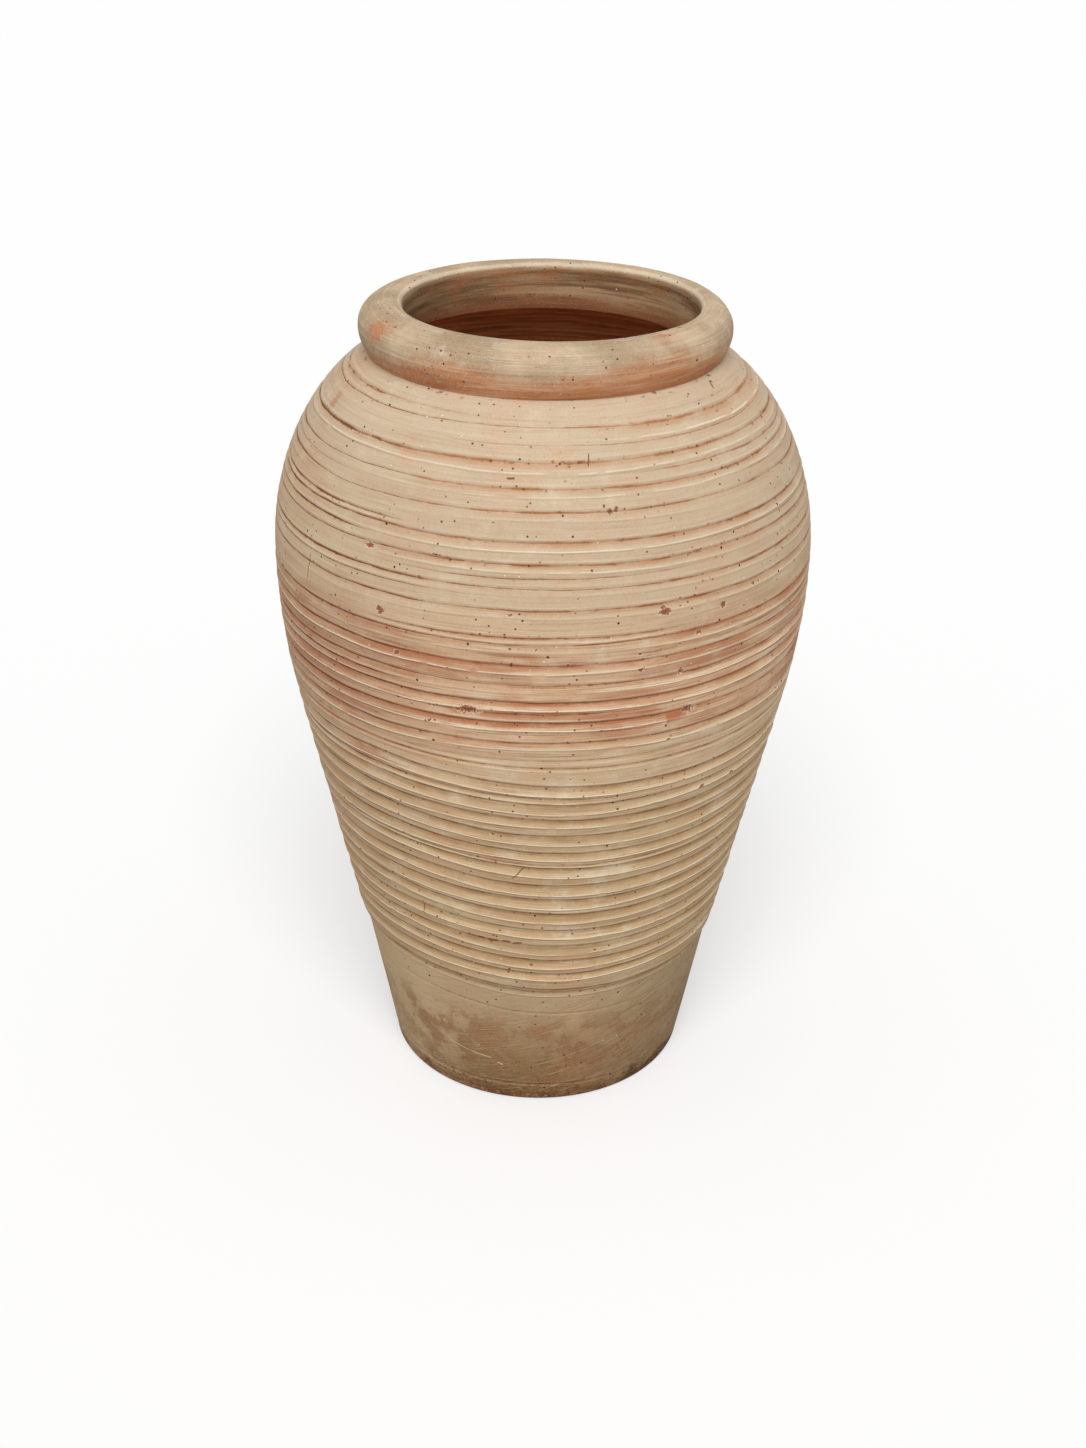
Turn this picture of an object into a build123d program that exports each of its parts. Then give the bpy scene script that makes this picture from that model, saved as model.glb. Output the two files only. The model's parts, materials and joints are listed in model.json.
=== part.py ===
from build123d import *

import os
from math import acos, atan2, cos, degrees, hypot, sin, sqrt

# A tall wheel-turned storage jar, raised as a potter raises it: a floor slab, a foot ring and a stack of
# wall rings, luted together with a tongue and groove, a coil in the floor's inner corner, and a rolled rim.
#
# Millimetres, +Z up, origin at the middle of the underside. Every piece is a turned ring, so the whole jar
# is one half section (r, z). It is cut at the joints into one face a piece, turned about the Z axis.

# Heights of the jar and its main stretches
JAR_HEIGHT = 950.0
RIM_HEIGHT = 53.0
SHOULDER_HEIGHT = 226.0
FOOT_HEIGHT = 186.0

# Radii, outside unless the name says otherwise
BASE_RADIUS = 183.0
FOOT_TOP_RADIUS = 217.5
FOOT_STEP = 3.5
BELLY_RADIUS = 307.0
BELLY_ARC_RADIUS = 815.0
THROAT_RADIUS = 162.0
SHOULDER_CENTRE_INSET = 42.0

# Thicknesses and the edge of the underside
WALL = 22.0
FLOOR = 26.0
NECK_THICKNESS = 33.5
BASE_EDGE_ROUNDING = 5.0

# Section of the rolled rim
RIM_OVERHANG = 9.5
CREST_WIDTH = 5.0
LIP_WIDTH = 10.0
LIP_HEIGHT = 12.0

# Joints of the belly ring, measured from the widest line
WAIST_DROP = 140.0
SHOULDER_RISE = 19.0
RINGS_BELOW_WAIST = 3

# Luting joint: a ridge under each piece sits in a groove of the piece below
TONGUE_HEIGHT = 7.0
TONGUE_ROOT = 9.0
TONGUE_TIP = 5.0

# Coil in the corner of floor and foot
CORNER_COIL_WIDTH = 30.0
CORNER_COIL_HEIGHT = 34.0

# Turning grooves, scooped out below the shoulder and only scored on it, and the plain bands between them
GROOVE_SPACING = 23.5
SCOOP_RADIUS = 8.0
SCOOP_DEPTH = 2.0
SCORE_RADIUS = 3.0
SCORE_DEPTH = 1.0
PLAIN_ABOVE_RIBS = 20.0
PLAIN_BELOW_BELLY = 18.0
PLAIN_ABOVE_BELLY = 2.0
PLAIN_BELOW_SHOULDER = 8.0
PLAIN_UNDER_RIM = 13.0

neck_height = JAR_HEIGHT - RIM_HEIGHT
belly_height = neck_height - SHOULDER_HEIGHT
neck_radius = THROAT_RADIUS + NECK_THICKNESS
shoulder_centre = (THROAT_RADIUS - SHOULDER_CENTRE_INSET, belly_height)
belly_centre = (BELLY_RADIUS - BELLY_ARC_RADIUS, belly_height)
beyond_wall = BELLY_RADIUS + WALL


def tangent_point(point, centre, radius):
    """Where a line that rises from a point touches the outside of a circle."""
    across, up = point[0] - centre[0], point[1] - centre[1]
    angle = atan2(up, across) + acos(radius / hypot(across, up))
    return centre[0] + radius * cos(angle), centre[1] + radius * sin(angle)


def moved_in(start, end, by):
    """A straight stretch of wall, moved square to itself towards the inside."""
    length = hypot(end[0] - start[0], end[1] - start[1])
    across, up = by * (end[1] - start[1]) / length, by * (end[0] - start[0]) / length
    return (start[0] - across, start[1] + up), (end[0] - across, end[1] + up)


def radius_on(stretch, height):
    """The radius of a straight stretch at a height."""
    (r1, z1), (r2, z2) = stretch
    return r1 + (r2 - r1) * (height - z1) / (z2 - z1)


class Side:
    """One side of the wall: a straight foot, a straight cone, a belly arc, and a shoulder on an ellipse."""

    def __init__(self, foot, cone, belly_radius, end_radius):
        self.foot = foot
        self.cone = cone
        self.belly_arc_radius = belly_radius - belly_centre[0]
        self.shoulder_width = belly_radius - shoulder_centre[0]
        lean = (end_radius - shoulder_centre[0]) / self.shoulder_width
        self.shoulder_rise = SHOULDER_HEIGHT / sqrt(1 - lean**2)
        self.shoulder_angle = degrees(acos(lean))

    def radius(self, height):
        """The side's radius at a height."""
        if height < self.foot[1][1]:
            return radius_on(self.foot, height)
        if height < self.cone[1][1]:
            return radius_on(self.cone, height)
        rise = height - belly_height
        if rise < 0:
            return belly_centre[0] + sqrt(self.belly_arc_radius**2 - rise**2)
        return shoulder_centre[0] + self.shoulder_width * sqrt(1 - (rise / self.shoulder_rise) ** 2)

    def curved_edges(self):
        """The belly arc and the shoulder, from the cone's top to the neck."""
        r, z = self.cone[1]
        start = degrees(atan2(z - belly_centre[1], r - belly_centre[0]))
        belly = CenterArc(belly_centre, self.belly_arc_radius, start, -start)
        shoulder = EllipticalCenterArc(
            shoulder_centre, self.shoulder_width, self.shoulder_rise, arc_size=self.shoulder_angle
        )
        return [belly, shoulder]


def outer_side():
    foot = ((BASE_RADIUS, 0), (FOOT_TOP_RADIUS, FOOT_HEIGHT))
    cone_base = (FOOT_TOP_RADIUS + FOOT_STEP, FOOT_HEIGHT)
    cone_top = tangent_point(cone_base, belly_centre, BELLY_ARC_RADIUS)
    return Side(foot, (cone_base, cone_top), BELLY_RADIUS, neck_radius)


def inner_side(outer):
    foot = moved_in(*outer.foot, WALL)
    cone = moved_in(*outer.cone, WALL)
    floor_corner = (radius_on(foot, FLOOR), FLOOR)
    bend = (radius_on(cone, FOOT_HEIGHT), FOOT_HEIGHT)
    return Side((floor_corner, bend), (bend, cone[1]), BELLY_RADIUS - WALL, THROAT_RADIUS)


def rim_edges():
    """The rolled rim, from the neck's outer edge over the crest and down into the throat."""
    bulge_height = neck_height + RIM_HEIGHT / 2
    bulge_radius = neck_radius + RIM_OVERHANG
    lip_radius = THROAT_RADIUS + LIP_WIDTH
    crest_radius = lip_radius + CREST_WIDTH
    lip_height = JAR_HEIGHT - LIP_HEIGHT
    return [
        TangentArc((bulge_radius, bulge_height), (neck_radius, neck_height), tangent=(0, -1)),
        EllipticalCenterArc((crest_radius, bulge_height), bulge_radius - crest_radius, RIM_HEIGHT / 2),
        Line((crest_radius, JAR_HEIGHT), (lip_radius, JAR_HEIGHT)),
        EllipticalCenterArc((lip_radius, lip_height), LIP_WIDTH, LIP_HEIGHT, 90),
        Line((THROAT_RADIUS, lip_height), (THROAT_RADIUS, neck_height)),
    ]


def jar_section(outer, inner):
    """The whole jar's half section, not yet grooved or cut at the joints."""
    edges = [
        *Polyline((0, 0), *outer.foot, *outer.cone).edges(),
        *outer.curved_edges(),
        *rim_edges(),
        *inner.curved_edges(),
        *Polyline(inner.cone[1], *reversed(inner.foot), (0, FLOOR), (0, 0)).edges(),
    ]
    section = make_face(edges)
    underside_edge = section.vertices().sort_by_distance((BASE_RADIUS, 0))[0]
    return fillet(underside_edge, BASE_EDGE_ROUNDING)


def wall_rings():
    """Name, lower and upper joint of each wall ring, with the band that its grooves fill and their tool."""
    waist = belly_height - WAIST_DROP
    shoulder_joint = belly_height + SHOULDER_RISE
    lower_step = (waist - FOOT_HEIGHT) / RINGS_BELOW_WAIST
    first_joint, second_joint = FOOT_HEIGHT + lower_step, FOOT_HEIGHT + 2 * lower_step
    neck_joint = (shoulder_joint + neck_height) / 2
    ribs_top = waist - PLAIN_ABOVE_RIBS
    belly_band = (waist + PLAIN_BELOW_BELLY, shoulder_joint - PLAIN_ABOVE_BELLY)
    shoulder_band = (shoulder_joint + PLAIN_BELOW_SHOULDER, neck_joint)
    neck_band = (neck_joint, neck_height - PLAIN_UNDER_RIM)
    scoop, score = (SCOOP_RADIUS, SCOOP_DEPTH), (SCORE_RADIUS, SCORE_DEPTH)
    return [
        ("lower_wall_ring", FOOT_HEIGHT, first_joint, (FOOT_HEIGHT, first_joint), scoop),
        ("middle_wall_ring", first_joint, second_joint, (first_joint, second_joint), scoop),
        ("upper_wall_ring", second_joint, waist, (second_joint, ribs_top), scoop),
        ("belly_ring", waist, shoulder_joint, belly_band, scoop),
        ("shoulder_ring", shoulder_joint, neck_joint, shoulder_band, score),
        ("neck_ring", neck_joint, neck_height, neck_band, score),
    ]


def grooves(outer, band, tool):
    """Round turning grooves, evenly spread over a band, so that no groove meets a joint."""
    bottom, top = band
    radius, depth = tool
    count = round((top - bottom) / GROOVE_SPACING)
    out = radius - depth
    cuts = []
    for index in range(count):
        height = bottom + (index + 0.5) * (top - bottom) / count
        slope = (outer.radius(height + out) - outer.radius(height - out)) / (2 * out)
        square = out / hypot(1, slope)
        cuts.append(Pos(outer.radius(height) + square, height - slope * square) * Circle(radius))
    return cuts


def joint_line(outer, inner, height):
    """A joint across the wall, from the axis outwards: flat, with a tongue in the middle of the wall."""
    tip = height - TONGUE_HEIGHT
    middle_height = (height + tip) / 2
    middle = (outer.radius(middle_height) + inner.radius(middle_height)) / 2
    return [
        (0, height),
        (middle - TONGUE_ROOT / 2, height),
        (middle - TONGUE_TIP / 2, tip),
        (middle + TONGUE_TIP / 2, tip),
        (middle + TONGUE_ROOT / 2, height),
        (beyond_wall, height),
    ]


def corner_coil(inner):
    """Half section of the coil in the corner of floor and foot, smoothed to a hollow curve."""
    corner = inner.foot[0]
    on_floor = (corner[0] - CORNER_COIL_WIDTH, FLOOR)
    on_wall = (inner.radius(FLOOR + CORNER_COIL_HEIGHT), FLOOR + CORNER_COIL_HEIGHT)
    down_wall = (corner[0] - on_wall[0], corner[1] - on_wall[1])
    hollow = Spline(on_wall, on_floor, tangents=[down_wall, (-1, 0)])
    return make_face([*Polyline(on_floor, corner, on_wall).edges(), hollow])


def main():
    outer = outer_side()
    inner = inner_side(outer)
    rings = wall_rings()

    section = jar_section(outer, inner)
    for _, _, _, band, tool in rings:
        section -= grooves(outer, band, tool)

    names = ["floor_slab", "foot_ring", *(ring[0] for ring in rings), "rolled_rim"]
    joints = [FLOOR, *(ring[1] for ring in rings), neck_height]
    underneath = [(0, -FLOOR), (beyond_wall, -FLOOR)]
    overhead = [(0, JAR_HEIGHT + FLOOR), (beyond_wall, JAR_HEIGHT + FLOOR)]
    lines = [underneath, *(joint_line(outer, inner, height) for height in joints), overhead]

    pieces = {"corner_coil": corner_coil(inner)}
    for name, lower, upper in zip(names, lines, lines[1:]):
        pieces[name] = section & make_face(Polyline(*lower, *reversed(upper), close=True))

    os.makedirs("parts", exist_ok=True)
    for name, half_section in pieces.items():
        piece = revolve(Plane.XZ * half_section, axis=Axis.Z)
        export_step(piece, f"parts/{name}.step")
        print(f"{name}: {piece.volume / 1e6:.2f} litres of clay")


main()
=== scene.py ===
# %% [markdown]
# # A tall ribbed storage jar
# The jar is raised from a slab and a stack of clay rings, turned on a wheel while it is still leather-hard,
# and finished with a thick rolled rim. Nothing on it moves. The packed solids give every size and joint, so
# they are loaded first, and each visible piece is then built on the ring that it stands for.

# %% Load the packed jar
import json
from math import acos, asin, atan2, cos, hypot, pi, radians, sin, sqrt

import bpy
import numpy as np
from mathutils import Euler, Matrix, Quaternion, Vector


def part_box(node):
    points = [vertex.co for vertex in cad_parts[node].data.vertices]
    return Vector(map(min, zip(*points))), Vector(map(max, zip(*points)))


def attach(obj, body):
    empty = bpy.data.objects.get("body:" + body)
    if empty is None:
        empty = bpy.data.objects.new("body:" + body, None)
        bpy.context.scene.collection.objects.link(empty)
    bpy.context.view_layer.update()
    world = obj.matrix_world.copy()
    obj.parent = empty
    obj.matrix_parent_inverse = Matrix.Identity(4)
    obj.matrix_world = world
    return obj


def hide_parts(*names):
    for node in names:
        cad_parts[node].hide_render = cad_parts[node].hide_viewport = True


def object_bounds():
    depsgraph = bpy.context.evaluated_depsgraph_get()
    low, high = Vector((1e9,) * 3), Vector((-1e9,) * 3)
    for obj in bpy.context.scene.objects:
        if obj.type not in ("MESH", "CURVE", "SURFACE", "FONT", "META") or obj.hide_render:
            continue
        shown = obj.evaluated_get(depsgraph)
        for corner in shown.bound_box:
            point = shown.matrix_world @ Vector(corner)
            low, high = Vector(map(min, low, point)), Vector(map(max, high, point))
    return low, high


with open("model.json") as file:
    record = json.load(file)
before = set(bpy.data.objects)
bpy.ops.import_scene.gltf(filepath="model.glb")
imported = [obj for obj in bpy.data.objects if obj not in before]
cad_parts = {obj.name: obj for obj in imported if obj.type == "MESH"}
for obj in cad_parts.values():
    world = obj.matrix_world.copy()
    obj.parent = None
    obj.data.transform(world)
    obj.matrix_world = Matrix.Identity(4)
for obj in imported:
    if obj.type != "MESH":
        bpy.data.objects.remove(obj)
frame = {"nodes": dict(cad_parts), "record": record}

cad_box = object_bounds()
print("rings:", sorted(frame["nodes"]))

# %% [markdown]
# Heights and radii come from the solids. A ring's top is its joint with the ring above, because each tongue
# points down into the ring below. What the boxes can't tell, such as the thickness of the wall, is written
# out where it is first needed.

# %% Heights of the joints
MM = 0.001


def top_of(node):
    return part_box(node)[1].z


JAR_TOP = cad_box[1].z
RIM_JOINT = top_of("neck_ring")
NECK_JOINT = top_of("shoulder_ring")
SHOULDER_JOINT = top_of("belly_ring")
WAIST_JOINT = top_of("upper_wall_ring")
UPPER_JOINT = top_of("middle_wall_ring")
MIDDLE_JOINT = top_of("lower_wall_ring")
FOOT_JOINT = top_of("foot_ring")
FLOOR_JOINT = top_of("floor_slab")
print(f"jar {JAR_TOP:.3f} m tall, foot up to {FOOT_JOINT:.3f} m, rim from {RIM_JOINT:.3f} m")

# %% Radii
def reach_of(node):
    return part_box(node)[1].x


BELLY_RADIUS = reach_of("belly_ring")
RIM_RADIUS = reach_of("rolled_rim")
FOOT_TOP_RADIUS = reach_of("foot_ring")
FLOOR_RADIUS = reach_of("floor_slab")
MOUTH = next(mount for mount in frame["record"]["mounts"] if mount["name"] == "mouth")
THROAT_RADIUS = MOUTH["dims"]["r_mm"] * MM
FOOT_FLARE = (FOOT_TOP_RADIUS - FLOOR_RADIUS) / (FOOT_JOINT - FLOOR_JOINT)
BASE_RADIUS = FLOOR_RADIUS - FOOT_FLARE * FLOOR_JOINT
print(f"{2 * BELLY_RADIUS:.3f} m across, base {2 * BASE_RADIUS:.3f} m, mouth {2 * THROAT_RADIUS:.3f} m")

# %% [markdown]
# ## The plain outline
# Under the tool marks, the wall is a straight foot, a cone that runs tangent into a long belly arc, and a
# shoulder that follows an ellipse up to the rim. Radius as a function of height is all that a turned pot
# needs, so each side of the wall is one function that takes a whole array of heights at once.

# %% Where the cone runs into the belly
BELLY_HEIGHT = 671 * MM
BELLY_ARC_RADIUS = 815 * MM
BELLY_CENTRE = BELLY_RADIUS - BELLY_ARC_RADIUS
FOOT_STEP = 3.5 * MM


def cone_top():
    """Where the cone above the foot touches the belly arc, as radius and height."""
    across, up = FOOT_TOP_RADIUS + FOOT_STEP - BELLY_CENTRE, FOOT_JOINT - BELLY_HEIGHT
    angle = atan2(up, across) + acos(BELLY_ARC_RADIUS / hypot(across, up))
    return BELLY_CENTRE + BELLY_ARC_RADIUS * cos(angle), BELLY_HEIGHT + BELLY_ARC_RADIUS * sin(angle)


CONE_RADIUS, CONE_HEIGHT = cone_top()
CONE_FLARE = (CONE_RADIUS - FOOT_TOP_RADIUS - FOOT_STEP) / (CONE_HEIGHT - FOOT_JOINT)
print(f"the cone ends at {CONE_HEIGHT:.3f} m, {CONE_RADIUS:.3f} m from the axis")

# %% Outer radius at a height
NECK_THICKNESS = 33.5 * MM
NECK_RADIUS = THROAT_RADIUS + NECK_THICKNESS
SHOULDER_CENTRE = THROAT_RADIUS - 42 * MM
SHOULDER_HEIGHT = RIM_JOINT - BELLY_HEIGHT


def foot_radius(z):
    return BASE_RADIUS + FOOT_FLARE * z


def wall_radius(z, inset=0.0, neck=NECK_RADIUS):
    """Cone, belly arc and shoulder; inset moves the whole side inwards, square to itself."""
    cone = CONE_RADIUS + CONE_FLARE * (z - CONE_HEIGHT) - inset * hypot(1, CONE_FLARE)
    rise = z - BELLY_HEIGHT
    arc = BELLY_CENTRE + np.sqrt((BELLY_ARC_RADIUS - inset) ** 2 - np.minimum(rise, 0) ** 2)
    width = BELLY_RADIUS - inset - SHOULDER_CENTRE
    tall = SHOULDER_HEIGHT / sqrt(1 - ((neck - SHOULDER_CENTRE) / width) ** 2)
    shoulder = SHOULDER_CENTRE + width * np.sqrt(1 - np.clip(rise / tall, 0, 1) ** 2)
    below_arc = z < CONE_HEIGHT + inset * CONE_FLARE
    return np.where(below_arc, cone, np.where(rise < 0, arc, shoulder))


print(f"the wall meets the rim {float(wall_radius(RIM_JOINT)):.4f} m from the axis")

# %% Inner radius at a height
WALL = 22 * MM


def inner_radius(z):
    """The inside of the wall, from the floor's corner to the throat."""
    corner = foot_radius(FLOOR_JOINT) - WALL * hypot(1, FOOT_FLARE)
    bend = wall_radius(np.array(FOOT_JOINT), WALL, THROAT_RADIUS)
    foot = corner + (bend - corner) * (z - FLOOR_JOINT) / (FOOT_JOINT - FLOOR_JOINT)
    return np.where(z < FOOT_JOINT, foot, wall_radius(z, WALL, THROAT_RADIUS))


for height in (FOOT_JOINT, WAIST_JOINT, SHOULDER_JOINT, RIM_JOINT):
    print(f"wall at {height:.3f} m: {float(inner_radius(height)):.4f} to {float(wall_radius(height)):.4f} m")

# %% [markdown]
# ## What the hand leaves
# Nothing on a thrown jar is exact. A smooth random field that closes round the jar stands for the potter's
# hand: a coarse one makes the wall a little out of round, a narrow tall one makes a line fade in and out.
# The field is a grid of seeded random knots, joined smoothly, so every run gives the same jar.

# %% Smooth random fields
TURN = 2 * pi
KNOT_ROWS = 64


def smooth(x, low=0.0, high=1.0):
    """0 below low, 1 above high, and an S-curve between them."""
    t = np.clip((x - low) / (high - low), 0, 1)
    return t * t * (3 - 2 * t)


def field(seed, angle, level, around):
    """Smooth noise from -1 to 1, with this many knots round the jar and one for each whole level."""
    knots = np.random.default_rng(seed).uniform(-1, 1, (KNOT_ROWS, around))
    across = (angle / TURN % 1) * around
    column, row = np.floor(across).astype(int), np.floor(level).astype(int)
    u, v = smooth(across - column), smooth(level - row)
    left, right = column % around, (column + 1) % around
    low, high = row % KNOT_ROWS, (row + 1) % KNOT_ROWS
    lower = knots[low, left] * (1 - u) + knots[low, right] * u
    upper = knots[high, left] * (1 - u) + knots[high, right] * u
    return lower * (1 - v) + upper * v


trial = field(1, np.linspace(0, TURN, 400), np.zeros(400), 12)
print(f"a field of 12 knots runs from {trial.min():.2f} to {trial.max():.2f}")

# %% Waves of several sizes
def waves(sizes, seed, angle, level):
    """Fields added up. Each size: its depth, the height of one knot, and the knots round the jar."""
    total = 0
    for place, (depth, tall, around) in enumerate(sizes):
        total = total + depth * field(seed + place, angle, level / tall, around)
    return total


trial = waves([(1.0, 1, 9), (0.4, 1, 31)], 1, np.linspace(0, TURN, 400), 0)
print(f"two waves run from {trial.min():.2f} to {trial.max():.2f}")

# %% [markdown]
# ## Turning grooves
# The tool was held against the turning wall at every 23 mm or so. On the ribbed part it left a scoop: a hard
# crease under the land above it, then a hollow that flares out to a raised lip. On the shoulder it only
# scored the clay. Between two strokes there is often a second, fainter one that comes and goes. Below the
# waist the rings drop by about half a groove across the front, where the wall was set down askew. A
# displacement map could carry this, but the grooves are shape, so they go into the mesh.

# %% Rings that stand askew
COLUMNS = 640
angles = np.arange(COLUMNS) * TURN / COLUMNS - pi

RIB_DROP = 15 * MM
DROP_FROM, DROP_TO, RISE_FROM = radians(-42), radians(14), radians(70)
LEVEL_ABOVE, ASKEW_BELOW = 548 * MM, 505 * MM
LEVEL_BELOW, ASKEW_ABOVE = 30 * MM, 165 * MM


def askew(angle, z):
    """How far a ring below the waist stands above its height at the front right."""
    drop = 1 - smooth(angle, DROP_FROM, DROP_TO)
    rise = smooth(angle % TURN, RISE_FROM, DROP_FROM + TURN)
    share = np.where((angle > DROP_FROM) & (angle < RISE_FROM), drop, rise)
    between = smooth(z, LEVEL_BELOW, ASKEW_ABOVE) * (1 - smooth(z, ASKEW_BELOW, LEVEL_ABOVE))
    return RIB_DROP * share * between


print(f"the top of the foot stands up to {1000 * askew(angles, FOOT_JOINT).max():.0f} mm askew")

# %% Bands of grooves
SINGLE_STEP = 20 * MM


class Band:
    """A run of grooves cut with one tool, in millimetres.

    second is how often a second stroke lies between two, fade how much a stroke's depth comes and goes.
    """

    def __init__(self, first, last, number, depth, hollow, lip, second=0.0, fade=0.45):
        self.heights = np.linspace(first, last, number) * MM
        self.depth, self.hollow, self.lip = depth * MM, hollow * MM, lip * MM
        self.second, self.fade = second, fade
        self.step = (last - first) / (number - 1) * MM if number > 1 else SINGLE_STEP


BANDS = [
    Band(9, 24, 2, depth=0.75, hollow=4.0, lip=0.3, fade=0.7),
    Band(150, 150, 1, depth=0.25, hollow=4.0, lip=0.1),
    Band(193, 500, 14, depth=1.8, hollow=11.5, lip=1.0, second=0.15),
    Band(527, 527, 1, depth=0.8, hollow=5.0, lip=0.3, second=1.0),
    Band(561, 677, 6, depth=1.5, hollow=10.0, lip=0.7, second=0.85, fade=0.6),
    Band(711, 875, 8, depth=0.9, hollow=8.5, lip=0.3, second=0.9, fade=0.8),
]
NO_TOOL = Band(0, 0, 1, depth=0, hollow=1.0, lip=0, fade=0)
print("grooves:", sum(len(band.heights) for band in BANDS))

# %% One stroke of the tool
WANDER = [(1.0 * MM, 1, 9), (0.4 * MM, 1, 31), (0.25 * MM, 1, 90)]
FAINTEST = 0.06


class Groove:
    """One groove round the jar: its height, depth, hollow and lip at every column."""

    def __init__(self, height, seed, band, size=1.0):
        self.height = height
        self.run = height + askew(angles, height) + waves(WANDER, seed, angles, 0)
        strength = size * np.maximum(0.8 + band.fade * field(seed + 3, angles, 0, 7), FAINTEST)
        if size < 1:
            strength = strength * smooth(field(seed + 4, angles, 0, 6), -0.2, 0.4)
        worn = 0.35 + 0.65 * smooth(field(seed + 5, angles, 0, 110), -0.8, -0.4)
        wide = (0.75 + 0.25 * size) * (1 + 0.25 * field(seed + 6, angles, 0, 8))
        self.depth = strength * band.depth
        self.hollow = wide * band.hollow
        self.lip = strength * worn * band.lip


stroke = Groove(WAIST_JOINT, 1, BANDS[2])
print(f"a rib's crease is {1000 * stroke.depth.min():.1f} to {1000 * stroke.depth.max():.1f} mm deep")

# %% All strokes, from the base to the rim
STRAY = 2.4 * MM
SECOND_SIZE = 0.45
SECOND_LOW, SECOND_HIGH = 0.26, 0.6
HAND_SEED = 7
LOWEST_SEED, HIGHEST_SEED = 90, 91
FIRST_SEED, SEED_STEP = 100, 10
BEYOND = 0.1


def cut_grooves():
    """All grooves in order, with one that cuts nothing below the base and one above the rim."""
    hand = np.random.default_rng(HAND_SEED)
    cut = [Groove(-BEYOND, LOWEST_SEED, NO_TOOL)]
    for band in BANDS:
        for height in band.heights:
            height = height + STRAY * hand.uniform(-1, 1)
            cut.append(Groove(height, FIRST_SEED + SEED_STEP * len(cut), band))
            if hand.random() < band.second:
                between = height + band.step * hand.uniform(SECOND_LOW, SECOND_HIGH)
                cut.append(Groove(between, FIRST_SEED + SEED_STEP * len(cut), band, SECOND_SIZE))
    return cut + [Groove(JAR_TOP + BEYOND, HIGHEST_SEED, NO_TOOL)]


GROOVES = cut_grooves()
RUNS, DEPTHS, HOLLOWS, LIPS = (
    np.stack([getattr(groove, part) for groove in GROOVES]) for part in ("run", "depth", "hollow", "lip")
)
print("strokes of the tool:", len(GROOVES) - 2)

# %% [markdown]
# Counting grooves up the wall gives a coordinate that the colours can follow too. It is whole at every
# crease, so its fraction tells how far a point lies below the next one, as finely as a picture needs. The
# count, the spacing and the strength go onto the mesh as attributes.

# %% Depth of the grooves
CREASE_WIDTH = 2.6 * MM
ARRIS = 0.1
ARRIS_FADE = 7 * MM
LIP_EDGE = 2.8 * MM
LEAST_LAND, LEAST_HOLLOW = 2.5 * MM, MM
FLARE_POWER = 2.3
DEEP = 1.9 * MM
HIGH_LIP = 1.2 * MM


def grooves(z):
    """Depth at each height, with the masks that say where on its groove a point lies."""
    places = np.arange(len(GROOVES))
    count = np.stack([np.interp(z[:, j], RUNS[:, j], places) for j in range(COLUMNS)], axis=1)
    lower = np.minimum(count.astype(int), len(GROOVES) - 2)
    column = np.arange(COLUMNS)[None, :]

    def of(table, groove):
        return table[groove, column]

    gap = of(RUNS, lower + 1) - of(RUNS, lower)
    above, below = z - of(RUNS, lower), of(RUNS, lower + 1) - z
    hollow = np.minimum(of(HOLLOWS, lower + 1), np.maximum(gap - LEAST_LAND, LEAST_HOLLOW))
    depth, lip = of(DEPTHS, lower + 1), of(LIPS, lower + 1)
    raised = ARRIS * (1 - smooth(above, CREASE_WIDTH, ARRIS_FADE))
    overhang = of(DEPTHS, lower) * ((1 + raised) * smooth(above, 0, CREASE_WIDTH) - 1)
    scooped = -depth + (depth + lip) * np.clip(below / hollow, 0, 1) ** FLARE_POWER
    edge = lip * (1 - smooth(below, hollow, hollow + LIP_EDGE))
    masks = {
        "count": count,
        "gap": gap,
        "hollow": hollow,
        "force": np.where(above < below, of(DEPTHS, lower), depth) / DEEP,
        "lip": lip / HIGH_LIP,
        "wheel": np.interp(count, places, [groove.height for groove in GROOVES]),
    }
    return overhang + np.where(below < hollow, scooped, edge), masks


print(f"deepest crease {1000 * DEPTHS.max():.1f} mm, highest lip {1000 * LIPS.max():.1f} mm")

# %% [markdown]
# ## Chips and smears
# Here and there the skin has flaked off and the red body shows, and in a few places the tool has dragged red
# clay across the ribs. The marks that can be told apart stand where they are on the jar, and small chips are
# scattered by a seeded hand, more of them low on the belly. A chip is a shallow dish. The mesh keeps how far
# inside a mark a point lies, so that its colour can end in a ragged edge.

# %% Marks that can be told apart
# Each mark: angle round from the front in degrees, then height, half width and half height in millimetres.
SEEN_CHIPS = {
    "plain band chip": (24.3, 703, 6, 4),
    "ring mark left": (-32.8, 692, 4, 5),
    "ring mark right": (37.9, 696, 4, 4),
    "flake's corner": (31, 584, 7, 4.5),
    "red chip": (-14.4, 597, 11, 5),
    "hole": (49.8, 465, 3, 3),
    "left scar": (-36.6, 755, 6, 3),
}
SMEARS = {
    "waist": (-38.2, 506, 55, 22),
    "ribs": (-22, 416, 46, 13),
    "lower ribs": (-9, 396, 44, 12),
    "left flake": (-68.4, 859, 9, 16),
    "belly left": (-25, 640, 90, 22),
    "belly right": (26, 582, 60, 16),
    "low belly": (-8, 590, 90, 16),
    "left of the waist": (-48, 560, 60, 40),
    "far left of the belly": (-58, 630, 80, 45),
}
print("chips and smears in their own places:", len(SEEN_CHIPS), len(SMEARS))

# %% Scattered chips
SCATTERED_CHIPS = 90
CHIP_SEED = 23
BELLY_CHIPS, WALL_CHIPS = (545, 715), (200, 760)


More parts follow.
